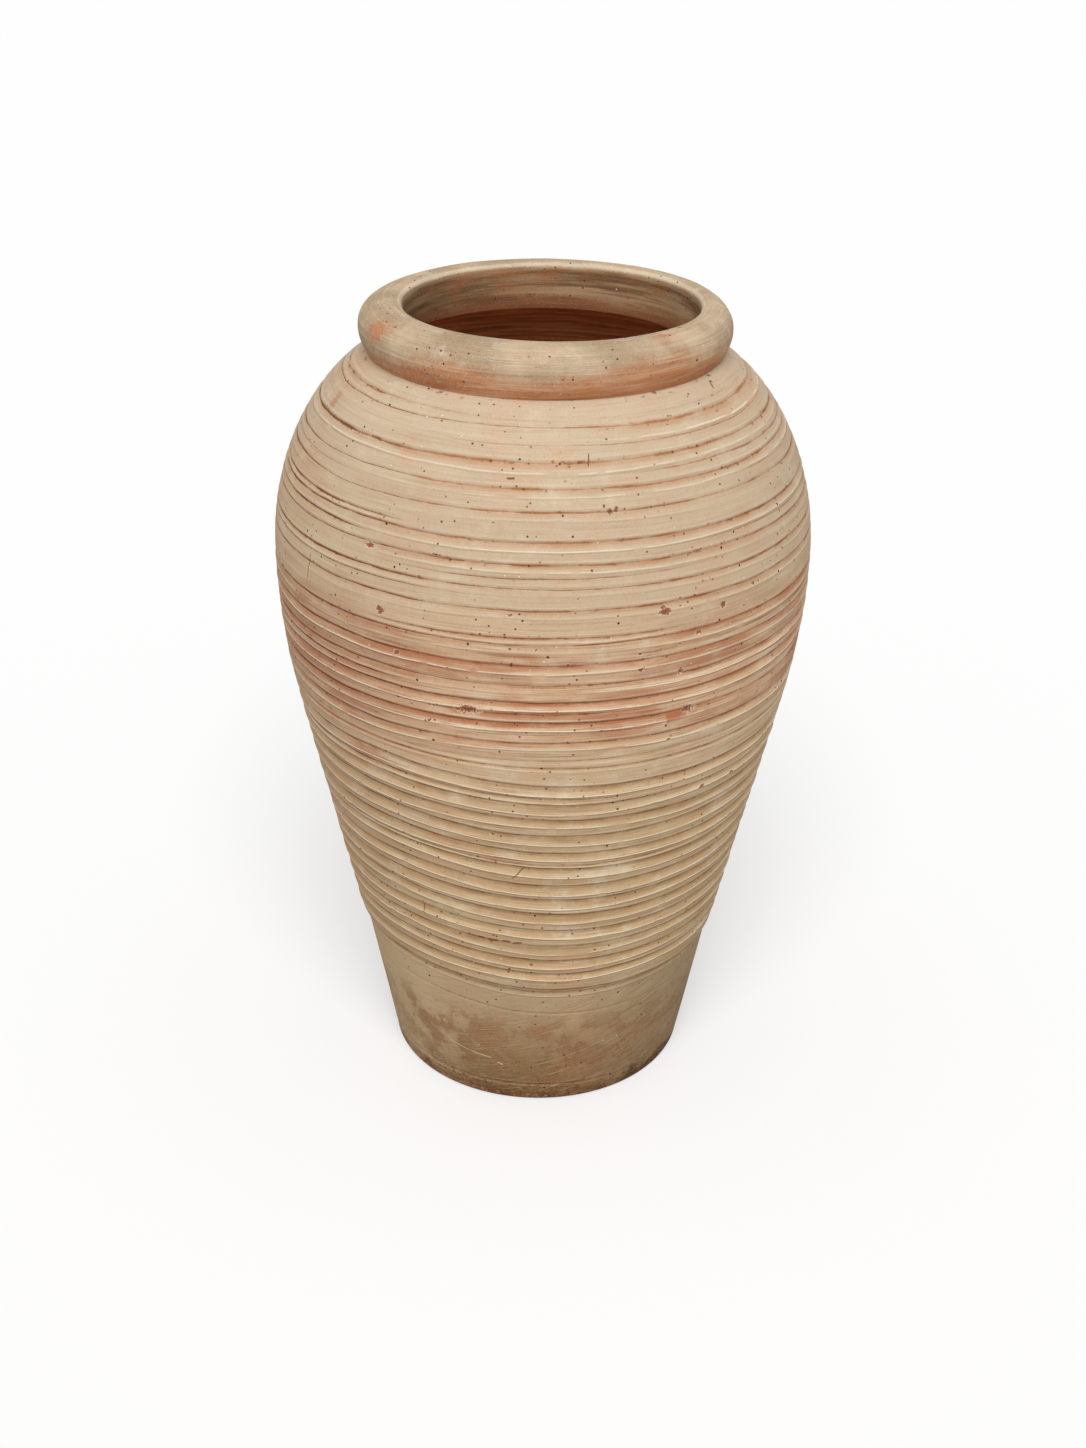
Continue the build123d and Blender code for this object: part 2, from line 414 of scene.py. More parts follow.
def scattered_chips():
    hand = np.random.default_rng(CHIP_SEED)
    chips = []
    for number in range(SCATTERED_CHIPS):
        low, high = BELLY_CHIPS if number % 2 else WALL_CHIPS
        wide = 1.8 + 2.6 * hand.random() ** 3
        chips.append((hand.uniform(-180, 180), hand.uniform(low, high), wide, wide * hand.uniform(0.5, 1.0)))
    return chips


CHIPS = list(SEEN_CHIPS.values()) + scattered_chips()
print("chips:", len(CHIPS))

# %% How far inside a mark
def marked(z, radius, marks):
    """1 in the middle of a mark, 0 on its edge, below 0 outside."""
    within = np.full_like(z, -1.0)
    for turned, height, wide, tall in marks:
        round_by = (angles - radians(turned) + pi) % TURN - pi
        across, up = round_by * radius / (wide * MM), (z - height * MM) / (tall * MM)
        within = np.maximum(within, 1 - np.hypot(across, up))
    return within


flake_line = marked(np.full((1, COLUMNS), 859 * MM), BELLY_RADIUS, SMEARS.values())
print("columns across the left flake:", int((flake_line > 0).sum()))

# %% [markdown]
# ## The whole outside
# The outside of the wall is now one function of height at every column. It gives each point's radius and
# height, and the masks that the clay's colours follow later. The step at the top of the foot follows the
# askew rings. All rings take their points from it, so they meet without a gap.

# %% The outside of the wall
STEP_WIDTH = 1.8 * MM
CHIP_DEPTH = 0.7 * MM
UNDER_RIM_FADE = 4 * MM
HAND_WAVES, HAND_WAVE_SEED = [(0.7 * MM, 0.30, 5), (0.25 * MM, 0.045, 14)], 11
TOOL_WAVES, TOOL_WAVE_SEED = [(0.12 * MM, 0.006, 20), (0.08 * MM, 0.0035, 60)], 13


def outside(z):
    """Radius and height of the finished wall, and its masks."""
    angle = angles + 0 * z
    depth, masks = grooves(z)
    on_wall = smooth(masks["wheel"], FOOT_JOINT - STEP_WIDTH / 2, FOOT_JOINT + STEP_WIDTH / 2)
    radius = foot_radius(z) * (1 - on_wall) + wall_radius(z) * on_wall
    flare = np.where(z < FOOT_JOINT, FOOT_FLARE, (wall_radius(z + MM) - wall_radius(z - MM)) / (2 * MM))
    depth = depth + waves(HAND_WAVES, HAND_WAVE_SEED, angle, z)
    depth = depth + waves(TOOL_WAVES, TOOL_WAVE_SEED, angle, z) * on_wall
    chip, smear = marked(z, radius, CHIPS), marked(z, radius, SMEARS.values())
    depth = depth - CHIP_DEPTH * smooth(chip, -0.05, 0.45)
    depth = depth * smooth(RIM_JOINT - z, 0, UNDER_RIM_FADE)
    tilt = np.hypot(1, flare)
    masks.update(chip=chip, smear=smear, inside=np.zeros_like(z))
    return radius + depth / tilt, z - depth * flare / tilt, masks


belly_line = outside(np.full((1, COLUMNS), BELLY_HEIGHT))[0]
print(f"the belly is {2000 * belly_line.mean():.1f} mm across, uneven by {1000 * np.ptp(belly_line):.1f} mm")

# %% Surfaces that no tool has touched
UNTOUCHED = {"count": 0.5, "gap": 0.1, "hollow": 0.01, "force": 0, "lip": 0, "chip": -1, "smear": -1}


def plain_masks(z, inside):
    """The same masks for a plain surface; inside is 1 where the clay is that of the jar's inside."""
    masks = {name: np.zeros_like(z) + value for name, value in UNTOUCHED.items()}
    masks.update(wheel=z, inside=np.zeros_like(z) + inside)
    return masks


print("masks on every piece:", sorted(plain_masks(belly_line, 0)))

# %% [markdown]
# ## Rings
# A ring is a closed section carried round the axis: up the outside, across the joint with its groove, down
# the inside, and back under with the tongue. Numpy makes the points of the whole grid at once, which is far
# quicker than an operator, and every ring has the same number of columns, so neighbours share their edges.

# %% Rows of a section
FINE_STEPS = 2000


def even_heights(low, high, rows, radius):
    """Heights from low to high, evenly spaced along the wall's outline."""
    fine = np.linspace(low, high, FINE_STEPS)
    run = np.concatenate([[0], np.cumsum(np.hypot(np.diff(fine), np.diff(radius(fine))))])
    return np.interp(np.linspace(0, run[-1], rows), run, fine)


def around(values):
    """One row of the grid for each value, the same all the way round."""
    return np.repeat(np.asarray(values, float)[:, None], COLUMNS, axis=1)


def plain_rows(points, inside):
    """Rows at given radii and heights, with plain masks."""
    radius, z = around([p[0] for p in points]), around([p[1] for p in points])
    return radius, z, plain_masks(z, inside)


def joined(parts):
    """Several runs of rows as one."""
    masks = {name: np.concatenate([part[2][name] for part in parts]) for name in parts[0][2]}
    return np.concatenate([part[0] for part in parts]), np.concatenate([part[1] for part in parts]), masks


print(f"{COLUMNS} columns of {1000 * TURN * BELLY_RADIUS / COLUMNS:.1f} mm at the belly")

# %% A keyed joint
TONGUE_HEIGHT = 7 * MM
TONGUE_ROOT = 9 * MM
TONGUE_TIP = 5 * MM


def joint_points(height):
    """The joint across the wall, from outside to inside, with the tongue of the upper ring."""
    deep = height - TONGUE_HEIGHT
    half = (height + deep) / 2
    outer = foot_radius(half) if height <= FOOT_JOINT else wall_radius(half)
    middle = (float(outer) + float(inner_radius(half))) / 2
    root, tip = TONGUE_ROOT / 2, TONGUE_TIP / 2
    return [(middle + root, height), (middle + tip, deep), (middle - tip, deep), (middle - root, height)]


print(f"the tongue at the waist stands {joint_points(WAIST_JOINT)[0][0]:.4f} m from the axis")

# %% [markdown]
# Each ring also gets a flat map of itself, cut into strips that lie one above the other, so that a baked
# colour stays sharp. A single long band would waste most of the picture.

# %% A flat map in strips
OUTER_STRIPS = 4
INNER_STRIPS = 2
OUTER_SHARE = 0.82
STRIP_GAP = 0.004
CAP_FILL = 0.8


def strip_map(rows, strips, bottom, top):
    """Corner places on the flat map for some rows of quads."""
    row = np.arange(rows)[:, None]
    column = np.arange(COLUMNS)[None, :]
    per_strip = COLUMNS // strips
    strip, along = column // per_strip, column % per_strip
    tall = (top - bottom) / strips
    corners = []
    for side, up in ((0, 0), (1, 0), (1, 1), (0, 1)):
        u = STRIP_GAP + (1 - 2 * STRIP_GAP) * (along + side) / per_strip + 0 * row
        v = bottom + tall * strip + STRIP_GAP + (tall - 2 * STRIP_GAP) * (row + up) / rows
        corners.append(np.stack([u, v], axis=-1))
    return np.stack(corners, axis=2).reshape(-1, 2)


def flat_map(bands, outer_bands, capped):
    """The outside's strips, the other bands above them, and two caps in the top corner."""
    parts = [strip_map(outer_bands, OUTER_STRIPS, 0, OUTER_SHARE)]
    parts.append(strip_map(bands - outer_bands, INNER_STRIPS, OUTER_SHARE, 1))
    if capped:
        circle = np.stack([np.cos(angles), np.sin(angles)], axis=-1)
        spot = 1 + STRIP_GAP / 2 * (CAP_FILL * circle - 1)
        parts += [spot, spot]
    return np.concatenate(parts)


print(f"the outside fills {OUTER_SHARE:.0%} of the map, in {OUTER_STRIPS} strips")

# %% Faces of a ring
def ring_faces(rows, bands, capped):
    """Corner numbers of all faces, and the corner that each face starts with."""
    row, column = np.arange(bands)[:, None], np.arange(COLUMNS)[None, :]
    here, above = row * COLUMNS, (row + 1) % rows * COLUMNS
    onward = (column + 1) % COLUMNS
    corners = np.stack([here + column, here + onward, above + onward, above + column], axis=-1).ravel()
    starts = np.arange(0, corners.size, 4)
    if capped:
        starts = np.append(starts, [corners.size, corners.size + COLUMNS])
        first = np.arange(COLUMNS)
        corners = np.concatenate([corners, first[::-1], first + (rows - 1) * COLUMNS])
    return corners, starts


print("faces of a ring of 150 rows:", len(ring_faces(150, 150, False)[1]))

# %% From a section to a ring
def keep_sharp(mesh, sharp_rows):
    """Hard edges along some rows, so that the shading doesn't round the joints."""
    ends = np.empty(len(mesh.edges) * 2, np.int32)
    mesh.edges.foreach_get("vertices", ends)
    first, second = (ends.reshape(-1, 2) // COLUMNS).T
    sharp = mesh.attributes.new("sharp_edge", "BOOLEAN", "EDGE")
    sharp.data.foreach_set("value", (first == second) & np.isin(first, sharp_rows))


def ring_mesh(name, section, outer_bands, sharp_rows, capped=False):
    """A mesh object from a section's rows of radius, height and masks, closed on itself or by two caps."""
    radius, z, masks = section
    rows = len(radius)
    bands = rows - 1 if capped else rows
    points = np.stack([radius * np.sin(angles), -radius * np.cos(angles), z], axis=-1)
    corners, starts = ring_faces(rows, bands, capped)
    mesh = bpy.data.meshes.new(name)
    mesh.vertices.add(rows * COLUMNS)
    mesh.vertices.foreach_set("co", points.astype(np.float32).ravel())
    mesh.loops.add(corners.size)
    mesh.loops.foreach_set("vertex_index", corners.astype(np.int32))
    mesh.polygons.add(starts.size)
    mesh.polygons.foreach_set("loop_start", starts.astype(np.int32))
    mesh.update(calc_edges=True)
    layer = mesh.uv_layers.new(name="OFBake")
    layer.uv.foreach_set("vector", flat_map(bands, outer_bands, capped).astype(np.float32).ravel())
    for mask, values in masks.items():
        layer = mesh.attributes.new(mask, "FLOAT", "POINT")
        layer.data.foreach_set("value", values.astype(np.float32).ravel())
    keep_sharp(mesh, sharp_rows)
    return mesh


print("a ring's map is kept for baking under the name OFBake")

# %% Handing a piece over
def finish_piece(mesh, node, material):
    """Put a ring into the scene, in place of its solid."""
    piece = bpy.data.objects.new(mesh.name, mesh)
    bpy.context.scene.collection.objects.link(piece)
    piece.data.materials.append(material)
    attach(piece, "root")
    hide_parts(node)
    print(f"{piece.name}: {len(piece.data.polygons)} faces, in place of {node}")


print("solids still to be replaced:", len(frame["nodes"]))

# %% [markdown]
# ## Writing a clay as sums
# A material's nodes are easiest to read as sums. They could be added and linked one by one, but a small class
# that wraps a socket lets a line of arithmetic add its own Math nodes. One method adds any other node: its
# kind, its settings and its sockets.

# %% A socket that can be added up
class Value:
    """A socket's output inside a recipe. Arithmetic on it adds Math nodes."""

    def __init__(self, recipe, socket):
        self.recipe, self.socket = recipe, socket

    def __add__(self, other):
        return self.recipe.math("ADD", self, other)

    def __radd__(self, other):
        return self.recipe.math("ADD", other, self)

    def __sub__(self, other):
        return self.recipe.math("SUBTRACT", self, other)

    def __rsub__(self, other):
        return self.recipe.math("SUBTRACT", other, self)

    def __mul__(self, other):
        return self.recipe.math("MULTIPLY", self, other)

    def __rmul__(self, other):
        return self.recipe.math("MULTIPLY", other, self)

    def __truediv__(self, other):
        return self.recipe.math("DIVIDE", self, other)

    def __rtruediv__(self, other):
        return self.recipe.math("DIVIDE", other, self)

    def __abs__(self):
        return self.recipe.math("ABSOLUTE", self)

    def between(self, low, high):
        """A mask: 0 where the value is at low, 1 at high, smooth between."""
        settings = {"interpolation_type": "SMOOTHSTEP"}
        sockets = {"Value": self, "From Min": low, "From Max": high}
        return self.recipe.add("ShaderNodeMapRange", settings, sockets)


print("a value knows", sum(name.startswith("__r") for name in vars(Value)), "sums from the right-hand side")

# %% A recipe of nodes
class Recipe:
    """The nodes of a material or of the sky, added one by one."""

    def __init__(self, block):
        block.use_nodes = True
        self.block, self.tree = block, block.node_tree

    def add(self, kind, settings=None, sockets=None, out=0):
        """Any node: its kind, its settings, values or links for its sockets, and the output to go on from."""
        node = self.tree.nodes.new(kind)
        for name, value in (settings or {}).items():
            if name == "stops":
                self.set_stops(node.color_ramp, value)
            else:
                setattr(node, name, value)
        for name, value in (sockets or {}).items():
            self.feed(self.find(node.inputs, name), value)
        return Value(self, self.find(node.outputs, out))

    def find(self, sockets, name):
        if isinstance(name, int):
            return sockets[name]
        return next(s for s in sockets if name in (s.identifier, s.name))

    def feed(self, socket, value):
        if isinstance(value, Value):
            self.tree.links.new(value.socket, socket)
        else:
            socket.default_value = value

    def set_stops(self, ramp, stops):
        while len(ramp.elements) < len(stops):
            ramp.elements.new(1)
        for element, (place, colour) in zip(ramp.elements, stops):
            element.position, element.color = place, colour

    def math(self, operation, *values):
        return self.add("ShaderNodeMath", {"operation": operation}, dict(enumerate(values)))


print("a recipe can:", ", ".join(name for name in vars(Recipe) if not name.startswith("_")))

# %% A surface and its usual nodes
class Surface(Recipe):
    """A material's recipe, with short names for the nodes that a clay needs most."""

    def __init__(self, name):
        super().__init__(bpy.data.materials.new(name))
        self.shader = self.tree.nodes["Principled BSDF"]

    def mask(self, name):
        return self.add("ShaderNodeAttribute", {"attribute_name": name}, out="Fac")

    def vector(self, x, y, z):
        return self.add("ShaderNodeCombineXYZ", {}, {"X": x, "Y": y, "Z": z})

    def noise(self, place, scale, detail=3.0, rough=0.55):
        sockets = {"Vector": place, "Scale": scale, "Detail": detail, "Roughness": rough}
        return self.add("ShaderNodeTexNoise", {}, sockets)

    def ramp(self, value, stops):
        return self.add("ShaderNodeValToRGB", {"stops": stops}, {"Fac": value}, out="Color")

    def mix(self, share, first, second):
        sockets = {"Factor_Float": share, "A_Color": first, "B_Color": second}
        return self.add("ShaderNodeMix", {"data_type": "RGBA"}, sockets, out="Result_Color")


test_piece = Surface("test_piece")
half_bare = 1 - test_piece.mask("inside") * 0.5
print("1 - mask * 0.5 ends in a node that can", half_bare.socket.node.operation.lower())
bpy.data.materials.remove(test_piece.block)

# %% Paints and coats
def paint(red, green, blue):
    """A colour as a paint chart gives it, 0 to 255, in the linear light that Blender works in."""
    linear = [c / 255 / 12.92 if c <= 10 else ((c / 255 + 0.055) / 1.055) ** 2.4 for c in (red, green, blue)]
    return (*linear, 1.0)


class Skin:
    """A colour that is built up in coats, each laid on as thick as its mask says."""

    def __init__(self, clay, colour):
        self.clay, self.colour = clay, colour

    def coat(self, share, colour):
        self.colour = self.clay.mix(share, self.colour, colour)


CREAM = paint(240, 224, 197)
WARM = paint(210, 164, 124)
RED = paint(184, 112, 76)
BROWN = paint(122, 86, 56)
print("cream slip in linear light:", [round(c, 3) for c in CREAM])

# %% [markdown]
# ## What every clay here shares
# All of the jar is one earthenware, turned on one wheel. So each recipe starts from the same ground: where a
# point is, fine drag lines and broader streaks that run round the pot, clouds that don't, grain, and the
# small pits that grit leaves when it comes out. Noise that is stretched sideways and squeezed upwards gives
# the lines.

# %% The common ground of a recipe
FINE_LINES, INNER_LINES, STREAKS, BROAD_STREAKS = 520.0, 260.0, 150.0, 42.0
PIT, HOLE, SPECK = paint(108, 50, 27), paint(80, 34, 17), paint(248, 240, 226)
MATTE = 0.12


class Ground:
    """The fields that a recipe mixes from, and the marks that all clays carry."""

    def __init__(self, clay):
        self.clay = clay
        self.place = clay.add("ShaderNodeTexCoord", out="Object")
        self.x, self.y, self.z = (
            clay.add("ShaderNodeSeparateXYZ", {}, {0: self.place}, out=axis) for axis in "XYZ"
        )
        self.wheel, self.inside = clay.mask("wheel"), clay.mask("inside")
        self.drag = self.lines(11, FINE_LINES, 3)
        self.streak = self.lines(10, STREAKS, 4)
        self.broad = self.lines(6, BROAD_STREAKS, 4)
        self.rings = self.lines(9, INNER_LINES, 3)
        self.cloud = clay.noise(self.place, 7.0, detail=5, rough=0.6)
        self.patch = clay.noise(self.place, 26.0, detail=6, rough=0.65)
        self.ragged = clay.noise(self.place, 160.0, detail=4, rough=0.65) - 0.5
        self.jagged = clay.noise(self.place, 420.0, detail=3, rough=0.6) - 0.5
        self.grain = clay.noise(self.place, 800.0, detail=2)
        gritty = clay.noise(self.place, 17.0, detail=3).between(0.43, 0.55)
        self.pit = self.spots(95.0, 0.15, 0.07) * gritty
        self.hole = self.spots(38.0, 0.06, 0.036)
        self.speck = self.spots(61.0, 0.055, 0.035) * (1 - gritty)

    def lines(self, round_by, up, detail):
        """Noise drawn out into lines round the jar."""
        place = self.clay.vector(self.x * round_by, self.y * round_by, self.wheel * up)
        return self.clay.noise(place, 1.0, detail, 0.6)

    def spots(self, scale, edge, middle):
        """Small scattered spots of all sizes with ragged edges."""
        sockets = {0: self.place, 1: (scale / 40, scale / 70, scale / 90)}
        place = self.clay.add("ShaderNodeVectorMath", {"operation": "ADD"}, sockets)
        sockets = {"Vector": place, "Scale": scale}
        far = self.clay.add("ShaderNodeTexVoronoi", {"feature": "F1"}, sockets, out="Distance")
        return (far + self.jagged * (edge * 0.9)).between(edge, middle)

    def speckle(self, skin):
        """Lay grain, pits, holes and white specks over a skin."""
        skin.coat(self.grain.between(0.52, 0.8) * 0.3, BROWN)
        skin.coat(self.grain.between(0.46, 0.22) * 0.25, CREAM)
        skin.coat(self.pit * 0.95, PIT)
        skin.coat(self.hole * 0.95, HOLE)
        skin.coat(self.speck * 0.85, SPECK)

    def finish(self, skin, rough, relief):
        """Hand colour, roughness and relief in millimetres to the shader."""
        clay = self.clay
        relief = relief + self.grain * 0.1 + self.ragged * 0.15 - self.pit * 0.4 - self.hole * 1.0
        sockets = {"Height": relief, "Distance": MM, "Strength": 1.0}
        clay.feed(clay.shader.inputs["Base Color"], skin.colour)
        clay.feed(clay.shader.inputs["Roughness"], rough)
        clay.feed(clay.shader.inputs["Normal"], clay.add("ShaderNodeBump", {}, sockets, out="Normal"))
        clay.shader.inputs["Specular IOR Level"].default_value = MATTE
        return clay.block


print("millimetres between lines:", [round(1000 / up, 1) for up in (FINE_LINES, INNER_LINES, STREAKS)])

# %% [markdown]
# A few single scratches are worth drawing one by one: a long pale one low on the foot, a slanting cut across
# the ribs, and short dark ones. Modelled, they would need a much finer mesh. In the recipe, a scratch is no
# more than the distance from a straight line on the unrolled wall.

# %% Scratches in their own places
# Each scratch: angle and height of its two ends, in degrees and millimetres, and its half width.
FOOT_SCRAPES = [(-33, 78, -24, 70, 0.9), (-24, 70, -16, 66, 1.3), (-14, 60, -12, 57, 1.6)]
WALL_CUTS = [
    (-6.3, 369, -3.2, 387, 0.9),
    (-32.4, 285, -32.2, 308, 0.8),
    (10.3, 846, 10.6, 857, 0.9),
    (-55, 690, -54, 722, 0.7),
    (57.2, 887, 58.6, 893, 1.6),
]
RED_NICKS = [
    (12.6, 812, 13.1, 812, 2.4),
    (13.6, 806, 14.4, 808, 4.2),
    (15.2, 806, 15.6, 811, 2.8),
    (-8.0, 836, -6.2, 836.5, 1.6),
    (-16.4, 272, -14.6, 271, 2.8),
    (-13.6, 270, -10.8, 270, 3.4),
    (-9.6, 270.5, -7.4, 270, 3.0),
    (-6.2, 269, -4.2, 269.5, 2.2),
]
ORANGE_FLAKES = [(26.0, 577, 30.8, 583, 12.5)]
print("scratches:", len(FOOT_SCRAPES) + len(WALL_CUTS) + len(RED_NICKS) + len(ORANGE_FLAKES))

# %% Drawing a scratch
SCRATCH_HEART = 0.2 * MM


def scratches(ground, ends):
    """1 on any of the scratches, 0 beside them."""
    turn = ground.clay.math("ARCTAN2", ground.x, ground.y * -1)
    found = 0.0
    for angle_1, height_1, angle_2, height_2, half_width in ends:
        radius = float(wall_radius(height_1 * MM))
        across, up = radians(angle_2 - angle_1) * radius, (height_2 - height_1) * MM
        length = hypot(across, up)
        right, rise = (turn - radians(angle_1)) * radius, ground.z - height_1 * MM
        along = (right * across + rise * up) / length**2
        off = abs((right * up - rise * across) / length + ground.ragged * MM)
        ends_at = along.between(-0.05, 0.1) * along.between(1.05, 0.9)
        found = off.between(half_width * MM, SCRATCH_HEART) * ends_at + found
    return found


print(f"a scratch is darkest within {1000 * SCRATCH_HEART:.1f} mm of its line")

# %% [markdown]
# ## Where a point lies on its groove
# From the count on the mesh a recipe knows the distance to the crease above and below, and to the lip of the
# hollow. A line that the tool leaves is never even: it swells, thins to a hair and breaks off, so its width
# is noise as well, and grit has been torn out of it here and there.

# %% Strokes of the tool
HAIR = 0.5 * MM


class Strokes:
    """Masks of a groove: its crease, hollow and lip, the drop and the land below, nicks and pricks. The drop
    is a painted shadow line under the lip, and the edge a painted highlight above the crease.
    """

    def __init__(self, ground):
        clay = ground.clay
        count, gap, hollow, force, lip = (
            clay.mask(name) for name in ("count", "gap", "hollow", "force", "lip")
        )
        part = clay.math("FRACT", count)
        above, below = part * gap, gap - part * gap
        near = clay.math("MINIMUM", above, below)
        wobble = ground.ragged * (0.8 * MM)
        held, raised, drawn = force.between(0.0, 0.4), lip.between(0.0, 0.5), force.between(0.0, 0.12)
        self.swell = ground.lines(26, 75, 3).between(0.36, 0.64)
        self.crease = (near + wobble).between(self.swell * held * (1.4 * MM) + HAIR, 0.1 * MM) * drawn
        self.under = (above + wobble).between(CREASE_WIDTH, 0.6 * MM) * held
        self.scoop = (below + ground.ragged * (3 * MM)).between(hollow * 0.9, 0.0) * force.between(0.0, 0.5)
        past_lip = below - hollow
        # The lip's pale line is partly wear and partly a painted highlight.
        self.ridge = (abs(past_lip - 0.2 * MM) + wobble).between(1.2 * MM, 0.3 * MM) * raised
        # A painted shadow line a little below the lip.
        self.drop = (abs(past_lip - 2.0 * MM) + wobble).between(1.1 * MM, 0.2 * MM) * raised
        self.land = past_lip.between(1.0 * MM, 3.0 * MM) * above.between(0.0, 2.0 * MM) * raised
        # A painted highlight on the arris just above the crease.
        self.edge = (abs(above - CREASE_WIDTH - 1.0 * MM) + wobble).between(1.2 * MM, 0.2 * MM) * held
        self.torn = ground.lines(75, 160, 4).between(0.6, 0.7)
        self.nick = self.torn * (near + wobble).between(2.4 * MM, 1.0 * MM) * held
        clustered = clay.noise(ground.place, 24.0, detail=3).between(0.46, 0.6)
        by_crease = (near + ground.ragged * (4 * MM)).between(4.0 * MM, 1.5 * MM) * held
        self.prick = ground.spots(110.0, 0.2, 0.1) * clustered * by_crease


print(f"a line thins to {2000 * HAIR:.0f} mm")

# %% [markdown]
# ## The wall's clay
# The wall is a pink-tan earthenware under a thin cream bloom. The bloom is palest on the shoulder and wears
# thin on the belly, where red streaks show. Hollows keep the red body, lips are rubbed pale and carry a
# painted highlight, and the foot is smooth and grows browner towards the ground, with dirt in its lower edge.
# Some light
# and shade is painted too: a shadow line under each lip, highlights on edges and chips, shade in the creases
# and on the left of the wall, light on the left of the foot and partly shade on its right. One recipe serves
# wall, foot and inside, because the height and the masks tell them apart.

# %% Colours by height
BODY_STOPS = [
    (0.000, paint(122, 90, 56)),
    (0.050, paint(144, 111, 73)),
    (0.110, paint(168, 137, 100)),
    (0.155, paint(186, 158, 121)),
    (0.198, paint(192, 165, 129)),
    (0.222, paint(206, 175, 133)),
    (0.370, paint(208, 177, 135)),
    (0.500, paint(216, 186, 146)),
    (0.560, paint(224, 193, 155)),
    (0.600, paint(221, 184, 146)),
    (0.660, paint(219, 180, 143)),
    (0.715, paint(215, 184, 149)),
    (0.760, paint(208, 183, 151)),
    (0.860, paint(204, 181, 152)),
    (0.940, paint(208, 188, 161)),
]
HOLLOW_STOPS = [
    (0.00, paint(140, 104, 66)),
    (0.25, paint(164, 126, 82)),
    (0.50, paint(168, 126, 82)),
    (0.58, paint(182, 116, 78)),
    (0.70, paint(182, 112, 74)),
    (0.76, paint(186, 128, 88)),
    (0.92, paint(194, 144, 104)),
]
# The crease colours are partly red clay left in the grooves and partly painted shade in the creases, most of
# all low on the wall.
CREASE_STOPS = [
    (0.00, paint(86, 56, 32)),
    (0.15, paint(112, 80, 50)),
    (0.50, paint(132, 90, 54)),
    (0.60, paint(146, 76, 42)),
    (0.70, paint(148, 76, 42)),
    (0.78, paint(146, 92, 58)),
    (0.92, paint(160, 110, 74)),
]
print("stops of body, hollow and crease:", len(BODY_STOPS), len(HOLLOW_STOPS), len(CREASE_STOPS))

# %% Parts of the jar
class Zones:
    """Which part of the jar a point is on."""

    def __init__(self, ground):
        self.height = ground.z / JAR_TOP
        self.foot = ground.wheel.between(FOOT_JOINT + 0.5 * MM, FOOT_JOINT - 0.5 * MM)
        self.wall = 1 - self.foot
        self.belly = self.height.between(0.55, 0.61) * self.height.between(0.74, 0.69)
        self.shoulder = self.height.between(0.68, 0.76)
        self.busy = self.wall * (1 - self.shoulder * 0.75)


print(f"the belly's red fades out below {0.55 * JAR_TOP:.2f} m and above {0.74 * JAR_TOP:.2f} m")

# %% Bloom
def bloom(ground, zones):
    """The clay's own colour with its clouds and streaks."""
    level = zones.height + (ground.cloud - 0.5) * 0.05 + (ground.broad - 0.5) * 0.03
    skin = Skin(ground.clay, ground.clay.ramp(level, BODY_STOPS))
    skin.coat(ground.cloud.between(0.5, 0.72) * 0.35, WARM)
    skin.coat(ground.patch.between(0.5, 0.72) * 0.3, WARM)
    skin.coat(ground.patch.between(0.47, 0.28) * (0.45 - zones.shoulder * 0.2) * zones.wall, CREAM)
    red = (ground.broad + (ground.cloud - 0.5) * 0.5).between(0.46, 0.64)
    skin.coat(red * (0.08 + zones.belly * 0.52) * zones.wall, RED)
    skin.coat(ground.streak.between(0.52, 0.7) * (zones.busy * 0.25 + zones.belly * 0.3), RED)
    skin.coat(ground.streak.between(0.46, 0.3) * 0.5 * zones.busy, CREAM)
    skin.coat(ground.drag.between(0.52, 0.7) * (0.08 + zones.busy * 0.25 + zones.belly * 0.15), BROWN)
    skin.coat(ground.drag.between(0.47, 0.3) * (0.08 + zones.busy * 0.25), CREAM)
    return skin


print("bloom: clouds, patches, streaks and drag lines, each in a warm and a cream coat")

# %% Marks of the tool
# Tints for painted shade on the left of the wall: browner clay there and darker creases.
LEFT_SHADE_TINT, LEFT_CREASE_SHADE = paint(174, 132, 104), paint(84, 50, 32)
RED_NICK = paint(118, 58, 34)
RED_PRICK = paint(104, 48, 26)
DARK = paint(78, 42, 25)
# Pale lips: rubbed clay, and partly a painted highlight.
RUBBED_LIP_HIGHLIGHT = paint(243, 227, 199)


